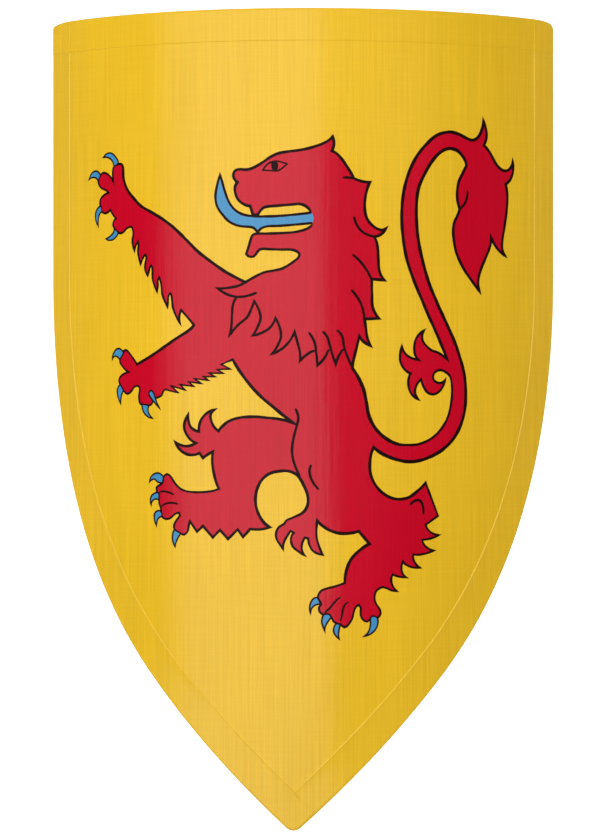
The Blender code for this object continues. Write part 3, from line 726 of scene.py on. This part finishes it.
def sheet_piece(name, back, front, materials, column, painting=None):
    """A closed sheet that fills the outline, between two heights, bent in upright columns."""
    edge = [(p.x * MM, p.y * MM) for p in OUTLINE.edge]
    points, edges = [], []

    def add_ring(ring):
        first = len(points)
        points.extend(ring)
        edges.extend((first + i, first + (i + 1) % len(ring)) for i in range(len(ring)))

    add_ring(edge)
    for shape in painting.shapes() if painting else []:
        add_ring([(p.x * MM, p.y * MM) for p in shape])
    reach = HALF_GIRTH * MM
    for u in spaced(-reach, reach, column * MM)[1:-1]:
        edges.append((len(points), len(points) + 1))
        points += [(u, -CUT_MARGIN), (u, HEIGHT * MM + CUT_MARGIN)]
    verts, _, faces, _, _, _ = delaunay_2d_cdt([Vector(p) for p in points], edges, [], 0, CUT_MERGE)
    corners = np.array([(v.x, v.y) for v in verts])
    triangles = np.array(faces)
    centres = corners[triangles].mean(axis=1)
    kept = winding(centres, edge) != 0
    triangles, centres = triangles[kept], centres[kept]
    used, index = np.unique(triangles, return_inverse=True)
    triangles = index.reshape(-1, 3)
    flats = corners[used] / MM
    a, b, c = (flats[triangles[:, k]] for k in range(3))
    # The flat pattern's t runs down, so a front face turns the other way there
    turned = np.cross(b - a, c - a) > 0
    triangles[turned] = triangles[turned][:, ::-1]
    count = len(flats)
    ends = np.concatenate([triangles[:, [0, 1]], triangles[:, [1, 2]], triangles[:, [2, 0]]])
    pairs = {(int(p), int(q)) for p, q in ends}
    rim = [(p, q) for p, q in pairs if (q, p) not in pairs]
    faces = triangles.tolist() + (triangles[:, ::-1] + count).tolist()
    faces += [[q, p, p + count, q + count] for p, q in rim]
    where = [bend(u, t, front) for u, t in flats] + [bend(u, t, back) for u, t in flats]
    which = None
    if painting:
        which = [*painting.paint_of(centres / MM), *([GROUND] * (len(triangles) + len(rim)))]
    piece = finished_piece(name, where, faces, [*flats, *flats], materials, which)
    turn = LAID.to_3x3()
    smooth = [turn @ bend_normal(u) for u, _ in flats]
    normals = [smooth[v] for face in triangles for v in face]
    normals += [-smooth[v] for face in triangles for v in face[::-1]]
    for p, q in rim:
        along = where[q] - where[p]
        out = turn @ along.cross(bend_normal(flats[p][0])).normalized()
        normals += [out] * 4
    piece.data.normals_split_custom_set(normals)
    return piece


def lofted(count, around):
    """The faces of a loft through a number of closed sections, each of so many points, with its two ends."""
    faces = []
    for i in range(count - 1):
        for k in range(around):
            a, b = i * around + k, i * around + (k + 1) % around
            faces.append([a, a + around, b + around, b])
    faces.append(list(range(around)))
    faces.append([(count - 1) * around + k for k in reversed(range(around))])
    return faces


def strip_section(width, lift, bead):
    """The strip's section as (distance in from the edge, height), in two lists: the front leaf, from its
    inner step with the bead out to the edge, and the rest, round the rim, under the board and back inside."""
    canvas, board = CANVAS_FRONT, BOARD_BACK
    front = canvas + lift
    top = front + STRIP_THICKNESS
    leaf = [
        (width + 0.0002, canvas - 0.0001), (width, front + 0.00015),
        (width - 0.0003, front + 0.0004 + bead * 0.6),
        (width - BEAD_INSET, front + 0.0005 + bead),
        (width - 0.0013, front + 0.00052 + bead * 0.5), (width - 0.0022, top),
        (width * 0.62, top), (width * 0.30, top),
        (0.0035, front + 0.0006), (0.0012, front + 0.0007 - lift / 3), (0.0, front + 0.0006 - lift / 2),
    ]
    rim = [
        (-0.0007, canvas + 0.0001), (-STRIP_RIM, canvas - 0.0012), (-STRIP_RIM, (canvas + board) / 2),
        (-STRIP_RIM, board + 0.0004), (-0.0010, board - 0.0005), (-0.0005, board - 0.0010),
    ]
    under = [
        (0.0014, board - 0.0011), (0.0035, board - 0.0010),
        (width * 0.35, board - 0.0009), (width * 0.68, board - 0.0009), (width - 0.003, board - 0.0009),
        (width - 0.0010, board - 0.0008), (width - 0.0002, board - 0.0005), (width, board + 0.0001),
    ]
    inside = [(0.001, board + 0.0001), (0.001, canvas - 0.0001)]
    return leaf, rim + under + inside


def strip_piece(name, rungs, lifts, width, bead, material):
    """A cloth strip folded round the rim, lofted through its rungs. The bead is the ridge of paint and
    glue along its inner edge."""
    points, flats, across = [], [], []
    last = len(rungs) - 1
    for i, (outer, inner) in enumerate(rungs):
        along = rungs[min(i + 1, last)][0] - rungs[max(i - 1, 0)][0]
        outward = Vector((along.y, -along.x)).normalized()
        leaf, rest = strip_section(width, lifts[i], bead)
        section = leaf + rest
        run = 0.0
        for k, (inset, height) in enumerate(section):
            flat = outer.lerp(inner, inset / width) if inset > 0 else outer - outward * inset
            between = 0 < inset < width * 0.9
            wave = STRIP_WAVINESS * math.sin(i * 1.7 + k) * math.sin(i * 0.37) if between else 0.0
            points.append(bend(flat.x, flat.y, height + (wave if height > 0 else -wave)))
            in_front = k < len(leaf)
            run += 0.0 if in_front else math.dist(section[k], section[k - 1])
            flats.append(flat if in_front else outer + outward * run)
            across.append((width - inset if in_front else width, 0.0))
    faces = lofted(len(rungs), len(section))
    piece = finished_piece(name, points, faces, flats, [material], across=across)
    piece.data.set_sharp_from_angle(angle=math.radians(50))
    return piece


# Materials: sums on sockets in plain Python
class Value:
    """A socket's value while a finish is mixed."""

    def __init__(self, finish, socket):
        self.finish, self.socket = finish, socket

    def math(self, operation, *others):
        inputs = dict(enumerate((self, *others)))
        return self.finish.node("ShaderNodeMath", {"operation": operation}, inputs)

    def __add__(self, other):
        return self.math("ADD", other)

    def __mul__(self, other):
        return self.math("MULTIPLY", other)

    def __sub__(self, other):
        return self.math("SUBTRACT", other)

    def __rsub__(self, other):
        return (self * -1.0) + other

    __radd__ = __add__
    __rmul__ = __mul__

    def within(self, low, high):
        """0 at low, 1 at high, straight between and held beyond."""
        return self.finish.node(
            "ShaderNodeMapRange", {"clamp": True}, {"Value": self, "From Min": low, "From Max": high}
        )


class Finish:
    """A material, and the nodes that mix it."""

    def __init__(self, name, roughness=0.5, metallic=0.0, **constants):
        self.material = bpy.data.materials.new(name)
        self.material.use_nodes = True
        self.tree = self.material.node_tree
        self.shader = self.tree.nodes["Principled BSDF"]
        self.shader.inputs["Roughness"].default_value = roughness
        self.shader.inputs["Metallic"].default_value = metallic
        for socket, value in constants.items():
            self.shader.inputs[socket.replace("_", " ")].default_value = value

    def node(self, kind, settings, inputs, output=0):
        """A node of a kind, its settings made first, then its inputs, each a link or a number."""
        made = self.tree.nodes.new(kind)
        for key, value in settings.items():
            if key == "stops":
                ramp = made.color_ramp
                for _ in range(len(value) - 2):
                    ramp.elements.new(0.5)
                for element, (place, colour) in zip(ramp.elements, value):
                    element.position = place
                    element.color = colour
            else:
                setattr(made, key, value)
        for key, value in inputs.items():
            self.join(made.inputs[key], value)
        return Value(self, made.outputs[output])

    def join(self, socket, value):
        if isinstance(value, Value):
            self.tree.links.new(value.socket, socket)
        else:
            socket.default_value = value

    def pattern(self):
        """The piece's flat pattern, in metres."""
        return self.node("ShaderNodeUVMap", {"uv_map": "pattern"}, {})

    def stretched(self, vector, across, along):
        """The pattern with its two ways scaled apart, for threads, grain and brush marks."""
        inputs = {0: vector, 1: (across, along, 1.0)}
        return self.node("ShaderNodeVectorMath", {"operation": "MULTIPLY"}, inputs)

    def noise(self, vector, scale, detail=2.0, roughness=0.5, distortion=0.0):
        inputs = {"Vector": vector, "Scale": scale, "Detail": detail}
        inputs.update({"Roughness": roughness, "Distortion": distortion})
        return self.node("ShaderNodeTexNoise", {"noise_dimensions": "3D"}, inputs)

    def mix(self, share, one, two):
        """Two colours mixed, by a share of the second."""
        return self.node("ShaderNodeMix", {"data_type": "RGBA"}, {0: share, 6: one, 7: two}, output=2)

    def bump(self, height, distance, strength=1.0, under=None):
        inputs = {"Height": height, "Distance": distance, "Strength": strength}
        if under:
            inputs["Normal"] = under
        return self.node("ShaderNodeBump", {}, inputs)

    def set(self, **sockets):
        for name, value in sockets.items():
            self.join(self.shader.inputs[name.replace("_", " ")], value)
        return self.material


def colour(red, green, blue):
    return (red, green, blue, 1.0)


def painted_cloth(name, base, deep, gloss=0.10, ior=1.45, ridge=None, crest_highlight_strength=0.0):
    """Brushed semi-gloss paint over a canvas weave. On a side strip, a painted highlight lightens the bead's
    crest and a painted shadow darkens the foot of its inner edge.
    """
    finish = Finish(name, IOR=ior)
    flat = finish.pattern()
    upright = finish.noise(finish.stretched(flat, 680.0, 8.0), 1.0, detail=3.0, roughness=0.6)
    level = finish.noise(finish.stretched(flat, 14.0, 640.0), 1.0, detail=2.0, roughness=0.5)
    broad = finish.noise(finish.stretched(flat, 7.0, 4.0), 1.0, detail=3.0, roughness=0.55)
    strokes = finish.noise(finish.stretched(flat, 120.0, 3.5), 1.0, detail=4.0, roughness=0.6)
    grime = (broad * 0.55 + strokes * 0.45).within(0.30, 0.72)
    ground = finish.mix(grime, base, deep)
    threads = (upright * 0.8 + level * 0.2).within(0.34, 0.66)
    shaded = finish.mix(threads * 0.46, ground, colour(*(part * 0.72 for part in deep[:3])))
    if ridge:
        crest = finish.node("ShaderNodeUVMap", {"uv_map": "across"}, {})
        inward = finish.node("ShaderNodeSeparateXYZ", {}, {0: crest})
        # Painted highlight: a patchy band along the bead's crest is mixed towards the light ridge colour, as
        # strongly as the strip asks
        crest_highlight_band = 1.0 - (inward - BEAD_INSET).math("ABSOLUTE").within(0.0002, 0.0010)
        highlight_and_grain = finish.mix(crest_highlight_band * broad.within(0.25, 0.75) * crest_highlight_strength, shaded, ridge)
        # Painted shadow: a narrow band on the face and foot of the inner edge's step is mixed towards the
        # deep colour
        shaded = finish.mix((1.0 - (inward + 0.0002).math("ABSOLUTE").within(0.0, 0.0004)) * 0.35, highlight_and_grain, deep)
    relief = upright * 0.82 + level * 0.18
    raised = finish.bump(relief, 0.00014, 0.80)
    waves = finish.bump(strokes, 0.0007, 0.30, under=raised)
    rough = gloss + threads * 0.05 + (strokes - 0.5) * 0.08
    return finish.set(Base_Color=shaded, Roughness=rough, Normal=waves)


def birch_ply(name):
    """Rotary-cut birch, oiled, darker where it is handled."""
    finish = Finish(name, IOR=1.45)
    flat = finish.pattern()
    figure = finish.noise(finish.stretched(flat, 26.0, 1.6), 1.0, detail=5.0, roughness=0.6, distortion=0.8)
    grain = finish.noise(finish.stretched(flat, 420.0, 8.0), 1.0, detail=3.0, roughness=0.6)
    pores = finish.noise(finish.stretched(flat, 1500.0, 60.0), 1.0, detail=1.0).within(0.62, 0.75)
    rings = finish.node(
        "ShaderNodeValToRGB",
        {"stops": [
            (0.25, colour(0.56, 0.36, 0.19)),
            (0.5, colour(0.68, 0.47, 0.27)),
            (0.75, colour(0.61, 0.40, 0.22)),
        ]},
        {"Fac": figure},
    )
    fibres = finish.mix(grain * 0.35, rings, colour(0.44, 0.26, 0.12))
    shaded = finish.mix(pores * 0.45, fibres, colour(0.28, 0.15, 0.07))
    handled = finish.noise(flat, 9.0, detail=4.0).within(0.35, 0.75)
    soiled = finish.mix(handled * 0.25, shaded, colour(0.36, 0.22, 0.11))
    return finish.set(
        Base_Color=soiled,
        Roughness=0.42 + grain * 0.18 + handled * 0.08,
        Normal=finish.bump(grain * 0.6 - pores * 0.5, 0.00025, 0.5),
    )


def strap_leather(name):
    """Grained leather, with burnished edges and a groove creased beside each."""
    half = STRAP_WIDTH / 2
    finish = Finish(name, IOR=1.48)
    flat = finish.pattern()
    across = finish.node("ShaderNodeSeparateXYZ", {}, {0: flat}).math("ABSOLUTE")
    cells = {"Vector": flat, "Scale": 520.0, "Randomness": 1.0}
    pebbles = finish.node("ShaderNodeTexVoronoi", {"feature": "DISTANCE_TO_EDGE"}, cells).within(0.0, 0.16)
    mottle = finish.noise(flat, 34.0, detail=4.0, roughness=0.6)
    bent = finish.noise(finish.stretched(flat, 60.0, 420.0), 1.0, detail=2.0, distortion=0.6)
    creases = bent.within(0.60, 0.70)
    rim = across.within(half - 0.0035, half - 0.0002)
    groove = 1.0 - (across - (half - 0.0048)).math("ABSOLUTE").within(0.0, 0.0006)
    tan = finish.mix(mottle.within(0.3, 0.7), colour(0.17, 0.072, 0.028), colour(0.105, 0.042, 0.018))
    edged = finish.mix(rim * 0.75, tan, colour(0.035, 0.015, 0.008))
    lined = finish.mix(groove * 0.7, edged, colour(0.03, 0.013, 0.007))
    highlight_and_grain = finish.mix((1.0 - pebbles) * 0.35, lined, colour(0.05, 0.022, 0.011))
    relief = finish.bump(pebbles * 0.5 - creases * 0.5, 0.0002, 0.6)
    grooved = finish.bump(1.0 - groove, 0.0006, 0.8, under=relief)
    return finish.set(Base_Color=highlight_and_grain, Roughness=0.42 + mottle * 0.18 - rim * 0.12, Normal=grooved)


def screw_steel(name):
    """Plain turned steel with a little patina."""
    finish = Finish(name, metallic=1.0)
    where = finish.node("ShaderNodeTexCoord", {}, {}, output=3)
    turned = finish.noise(where, 900.0, detail=2.0)
    patina = finish.noise(where, 160.0, detail=4.0).within(0.45, 0.7)
    steel = finish.mix(patina, colour(0.50, 0.49, 0.46), colour(0.24, 0.21, 0.18))
    rough = 0.26 + patina * 0.25 + turned * 0.08
    return finish.set(Base_Color=steel, Roughness=rough, Normal=finish.bump(turned, 0.00005, 0.4))


def pale_floor(name):
    finish = Finish(name, roughness=0.85)
    where = finish.node("ShaderNodeTexCoord", {}, {}, output=3)
    tone = finish.noise(where, 3.0, detail=4.0)
    finish.shader.inputs["Emission Strength"].default_value = 0.60
    finish.shader.inputs["Emission Color"].default_value = colour(1.0, 1.0, 1.0)
    return finish.set(Base_Color=finish.mix(tone, colour(0.90, 0.90, 0.90), colour(0.93, 0.93, 0.93)))


def pale_backdrop(name):
    finish = Finish(name, roughness=1.0)
    where = finish.node("ShaderNodeTexCoord", {}, {}, output=3)
    tone = finish.noise(where, 0.3, detail=2.0)
    finish.shader.inputs["Emission Strength"].default_value = 1.0
    return finish.set(
        Base_Color=finish.mix(tone, colour(0.02, 0.02, 0.02), colour(0.025, 0.025, 0.025)),
        Emission_Color=finish.mix(tone, colour(0.93, 0.93, 0.93), colour(0.97, 0.97, 0.97)),
    )


STRIP_SHADES = colour(0.855, 0.528, 0.026), colour(0.765, 0.458, 0.019)
# The light colour of the painted highlight on the side strips' bead crests
RIDGE_HIGHLIGHT = colour(0.97, 0.70, 0.16)
# The right strip gets a stronger painted highlight on its crest than the left one
RIGHT_STRIP_YELLOW = painted_cloth("right_strip_yellow_paint", *STRIP_SHADES, ridge=RIDGE_HIGHLIGHT, crest_highlight_strength=0.48)
LEFT_STRIP_YELLOW = painted_cloth("left_strip_yellow_paint", *STRIP_SHADES, ridge=RIDGE_HIGHLIGHT, crest_highlight_strength=0.24)
YELLOW = painted_cloth("yellow_paint", colour(0.865, 0.533, 0.024), colour(0.775, 0.463, 0.017))
RED = painted_cloth("red_paint", colour(0.585, 0.002, 0.020), colour(0.52, 0.001, 0.016), ior=1.40)
BLACK_SHADES = colour(0.017, 0.003, 0.003), colour(0.011, 0.002, 0.002)
BLACK = painted_cloth("black_paint", *BLACK_SHADES, gloss=0.34, ior=1.22)
BLUE = painted_cloth("blue_paint", colour(0.060, 0.29, 0.54), colour(0.05, 0.25, 0.48))
PLY = birch_ply("birch_ply")
LEATHER = strap_leather("strap_leather")
STEEL = screw_steel("screw_steel")

# Canvas, board and edge strips
paints = [YELLOW, RED, BLACK, BLUE]
canvas = sheet_piece("canvas_painted", CANVAS_BACK, CANVAS_FRONT, paints, CANVAS_COLUMN, Painting())
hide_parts("painted_canvas")
board = sheet_piece("board_ply", BOARD_BACK, 0.0, [PLY], BOARD_COLUMN)
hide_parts("curved_board")


def top_lifts():
    """The top strip climbs over the side strips, whose bead shows through it."""
    same_place = 0.0001
    lifts = []
    for outer, _ in OUTLINE.top:
        past = abs(outer.x) - (HALF_GIRTH - STRIP_SIDE_WIDTH)
        if past < -same_place:
            lifts.append(0.0)
        elif past < same_place:
            lifts.append(LAP_LIFT / 2)
        else:
            lifts.append(LAP_LIFT + BEAD * (abs(past - LAP_SOFT) < same_place))
    return lifts


def left_lap():
    """Two rungs before the left strip's own, over the end of the right strip."""
    (outer, inner), (following, _) = OUTLINE.left[:2]
    back = (outer - following).normalized() * LEFT_LAP
    return [(outer + back, inner), (outer + back * 0.3, inner)]


def bind(side, rungs, lifts, width, bead, material):
    """One edge strip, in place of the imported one."""
    strip = strip_piece(f"strip_{side}", rungs, lifts, width, bead, material)
    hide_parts(f"edge_binding_{side}")


bind("top", OUTLINE.top, top_lifts(), STRIP_TOP_WIDTH, 0.0, YELLOW)
right_lifts = [0.0] * len(OUTLINE.right)
bind("right", OUTLINE.right, right_lifts, STRIP_SIDE_WIDTH, BEAD, RIGHT_STRIP_YELLOW)
left_lifts = [LAP_LIFT] * 3 + [LAP_LIFT / 2] + [0.0] * (len(OUTLINE.left) - 2)
bind("left", left_lap() + OUTLINE.left, left_lifts, STRIP_SIDE_WIDTH, BEAD, LEFT_STRIP_YELLOW)


# Arm straps
def strap_height(t, span, depth):
    """How high the strap's middle is, at t from the middle of its loop: under the board, so below zero."""
    rise = min(1.0, max(0.0, (span / 2 - abs(t)) / STRAP_RISE))
    return STRAP_SEAT - depth * math.sin(rise * math.pi / 2) ** 2


def strap_section():
    """The strap's section, round its middle: places across it and through it, with rounded edges."""
    half, thick = STRAP_WIDTH / 2, STRAP_THICKNESS / 2
    flat_half, flat_thick = half - STRAP_EDGE_RADIUS, thick - STRAP_EDGE_RADIUS
    section = []
    for quarter, (x, z) in enumerate(((1, 1), (-1, 1), (-1, -1), (1, -1))):
        for step in range(5):
            turn = math.radians(90 * quarter + 22.5 * step)
            across = x * flat_half + STRAP_EDGE_RADIUS * math.cos(turn)
            section.append((across, z * flat_thick + STRAP_EDGE_RADIUS * math.sin(turn)))
        if x == z:
            section += [(x * flat_half * share, z * thick) for share in (0.6, 0.2, -0.2, -0.6)]
    return section


def strap_piece(name, offset, span, depth):
    """A strap along the bend: a foot, the loop that stands off the board, and the other foot."""
    end = span / 2 + STRAP_FOOT
    near = 0.0005
    lengths = spaced(-end, end, STRAP_STEP)
    section = strap_section()
    points, flats = [], []
    for i, t in enumerate(lengths):
        slope = (strap_height(t + near, span, depth) - strap_height(t - near, span, depth)) / (2 * near)
        lift = Vector((-slope, 1.0)).normalized()
        trim = 0.6 if i in (0, len(lengths) - 1) else 1.0
        for across, thick in section:
            thick *= trim
            height = strap_height(t, span, depth) + thick * lift.y
            angle = offset / BEND_RADIUS + across / (BEND_RADIUS + height)
            points.append(place_at(angle, STRAPS_DOWN + t + thick * lift.x, height))
            flats.append((across, t))
    faces = lofted(len(lengths), len(section))
    piece = finished_piece(name + "_leather", points, faces, flats, [LEATHER])
    piece.data.set_sharp_from_angle(angle=math.radians(60))
    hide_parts(name)


def screw_places(offset, span):
    """Where a strap's four screws sit, turned so that their heads face away from the board."""
    places = []
    for end in (-1, 1):
        t = STRAPS_DOWN + end * (span / 2 + STRAP_FOOT - SCREW_FROM_END)
        for across in (-SCREW_SPACING / 2, SCREW_SPACING / 2):
            angle = offset / BEND_RADIUS + across / (BEND_RADIUS + SCREW_SEAT)
            seat = place_at(angle, t, SCREW_SEAT)
            places.append(Matrix.Translation(seat) @ Matrix.Rotation(angle + math.pi, 4, "Y"))
    return places


def screw_piece(number, place, turn):
    """A slotted dome-head screw, turned from its profile, with its slot cut at its own angle."""
    steps, rings = SCREW_SIDES, SCREW_DOME_RINGS
    head_sunk = 0.0001
    profile = []
    for ring in range(rings + 1):
        angle = math.pi / 2 * (1 - ring / rings)
        profile.append((SCREW_HEAD_RADIUS * math.cos(angle), SCREW_HEAD_HEIGHT * math.sin(angle)))
    profile += [(SCREW_HEAD_RADIUS * 0.96, -head_sunk), (SCREW_SHANK_RADIUS, -head_sunk)]
    profile += [(SCREW_SHANK_RADIUS, -SCREW_SHANK_LENGTH)]
    lathe = bmesh.new()
    ends = [lathe.verts.new((0, 0, SCREW_HEAD_HEIGHT)), lathe.verts.new((0, 0, -SCREW_SHANK_LENGTH))]
    loops = []
    for radius, z in profile[1:]:
        ring = []
        for step in range(steps):
            angle = 2 * math.pi * step / steps
            ring.append(lathe.verts.new((radius * math.cos(angle), radius * math.sin(angle), z)))
        loops.append(ring)
    for step in range(steps):
        after = (step + 1) % steps
        lathe.faces.new((ends[0], loops[0][step], loops[0][after]))
        for upper, lower in zip(loops, loops[1:]):
            lathe.faces.new((upper[step], lower[step], lower[after], upper[after]))
        lathe.faces.new((ends[1], loops[-1][after], loops[-1][step]))
    mesh = bpy.data.meshes.new(f"screw_{number}")
    bmesh.ops.recalc_face_normals(lathe, faces=lathe.faces[:])
    lathe.to_mesh(mesh)
    lathe.free()
    slot = bmesh.new()
    size = Matrix.Diagonal((3 * SCREW_HEAD_RADIUS, SCREW_SLOT_WIDTH, 2 * SCREW_SLOT_DEPTH, 1))
    spin = Matrix.Rotation(turn, 4, "Z")
    bmesh.ops.create_cube(slot, size=1, matrix=spin @ Matrix.Translation((0, 0, SCREW_HEAD_HEIGHT)) @ size)
    slot_mesh = bpy.data.meshes.new("slot")
    slot.to_mesh(slot_mesh)
    slot.free()
    blank = bpy.data.objects.new("blank", mesh)
    cutter = bpy.data.objects.new("cutter", slot_mesh)
    for thing in (blank, cutter):
        bpy.context.scene.collection.objects.link(thing)
    cut = blank.modifiers.new("slot", "BOOLEAN")
    cut.operation = "DIFFERENCE"
    cut.object = cutter
    seen = blank.evaluated_get(bpy.context.evaluated_depsgraph_get())
    finished = bpy.data.meshes.new_from_object(seen)
    for thing in (blank, cutter):
        bpy.data.objects.remove(thing)
    finished.transform(LAID @ place)
    finished.materials.clear()
    finished.materials.append(STEEL)
    finished.shade_smooth()
    finished.set_sharp_from_angle(angle=math.radians(35))
    piece = bpy.data.objects.new(f"screw_{number}", finished)
    bpy.context.scene.collection.objects.link(piece)
    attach(piece, "root")
    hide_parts(f"strap_screw_{number}")


number = 0
for name, strap in STRAPS.items():
    strap_piece(name, **strap)
    for place in screw_places(strap["offset"], strap["span"]):
        number += 1
        screw_piece(number, place, SCREW_FIRST_TURN + SCREW_NEXT_TURN * number)


# Floor, backdrop, light and camera
def studio_piece(name, mesh, material):
    """Something that stands round the shield and isn't part of it."""
    mesh.materials.append(material)
    thing = bpy.data.objects.new(name, mesh)
    bpy.context.scene.collection.objects.link(thing)
    return thing


floor_mesh = bpy.data.meshes.new("floor")
floor_corners = [(x * ROOM_REACH, y * ROOM_REACH, 0) for x, y in ((-1, -1), (1, -1), (1, 1), (-1, 1))]
floor_mesh.from_pydata(floor_corners, [], [(0, 1, 2, 3)])
floor = studio_piece("floor", floor_mesh, pale_floor("pale_floor"))
floor.location.z = -FLOOR_DROP
floor.visible_glossy = False

dome_mesh = bpy.data.meshes.new("pale_backdrop")
dome = bmesh.new()
bmesh.ops.create_uvsphere(dome, u_segments=48, v_segments=24, radius=ROOM_REACH)
bmesh.ops.reverse_faces(dome, faces=dome.faces[:])
dome.to_mesh(dome_mesh)
dome.free()
backdrop = studio_piece("backdrop", dome_mesh, pale_backdrop("pale_backdrop"))
for kind in ("diffuse", "glossy", "transmission", "shadow"):
    setattr(backdrop, f"visible_{kind}", False)


def add_light(name, place, target, size, radiance, glossy):
    """A soft area light, placed in the shield's own frame and aimed at a point there."""
    data = bpy.data.lights.new(name, "AREA")
    data.shape = "RECTANGLE"
    data.size, data.size_y = size
    data.energy = radiance * math.pi * size[0] * size[1]
    lamp = bpy.data.objects.new(name, data)
    here, there = LAID @ Vector(place), LAID @ Vector(target)
    turn = (there - here).to_track_quat("-Z", "Y").to_matrix().to_4x4()
    lamp.matrix_world = Matrix.Translation(here) @ turn
    lamp.visible_glossy = glossy
    lamp.visible_camera = False
    bpy.context.scene.collection.objects.link(lamp)
    return lamp


def strip_light(name, low, high, distance, height, radiance):
    """The light box whose reflection veils the face: it spans two directions, as the crown sees them."""
    angles = math.radians(low), math.radians(high)
    ends = [Vector((math.sin(angle) * distance, 0, math.cos(angle) * distance)) for angle in angles]
    middle = (ends[0] + ends[1]) / 2
    lamp = add_light(name, middle, (0, 0, 0), ((ends[1] - ends[0]).length, height), radiance, True)
    # It faces square off its own length, towards the shield
    facing = Vector((ends[1].z - ends[0].z, 0, ends[0].x - ends[1].x)).normalized()
    facing = -facing if facing.dot(middle) > 0 else facing
    turn = (LAID.to_3x3() @ facing).to_track_quat("-Z", "Y").to_matrix().to_4x4()
    lamp.matrix_world = Matrix.Translation(LAID @ middle) @ turn


strip_light("light_box", -54.0, 7.2, 2.4, 2.6, 0.70)
strip_light("light_box_middle", -46.0, 4.0, 2.5, 2.6, 0.35)
strip_light("light_box_core", -37.0, -2.0, 2.6, 2.6, 0.40)
add_light("key", (-1.9, 1.6, 2.2), LAMP_TARGET, LAMP_SIZE, 3.08, False)
add_light("fill", (1.2, 0.9, 2.4), LAMP_TARGET, LAMP_SIZE, 3.1, False)
add_light("low_fill", (0.2, -2.4, 1.9), LAMP_TARGET, LAMP_SIZE, 0.70, False)

world = bpy.data.worlds.new("studio")
world.use_nodes = True
background = world.node_tree.nodes["Background"].inputs
background["Color"].default_value = colour(1.0, 1.0, 1.0)
background["Strength"].default_value = 0.06
bpy.context.scene.world = world
bpy.context.scene.view_settings.view_transform = "Standard"

camera_data = bpy.data.cameras.new("camera")
camera_data.lens = CAMERA_LENS
camera_data.sensor_width = CAMERA_SENSOR
camera_data.clip_end = 50.0
camera = bpy.data.objects.new("camera", camera_data)
camera.matrix_world = SIGHT.matrix()
bpy.context.scene.collection.objects.link(camera)
bpy.context.scene.camera = camera

bpy.context.view_layer.update()
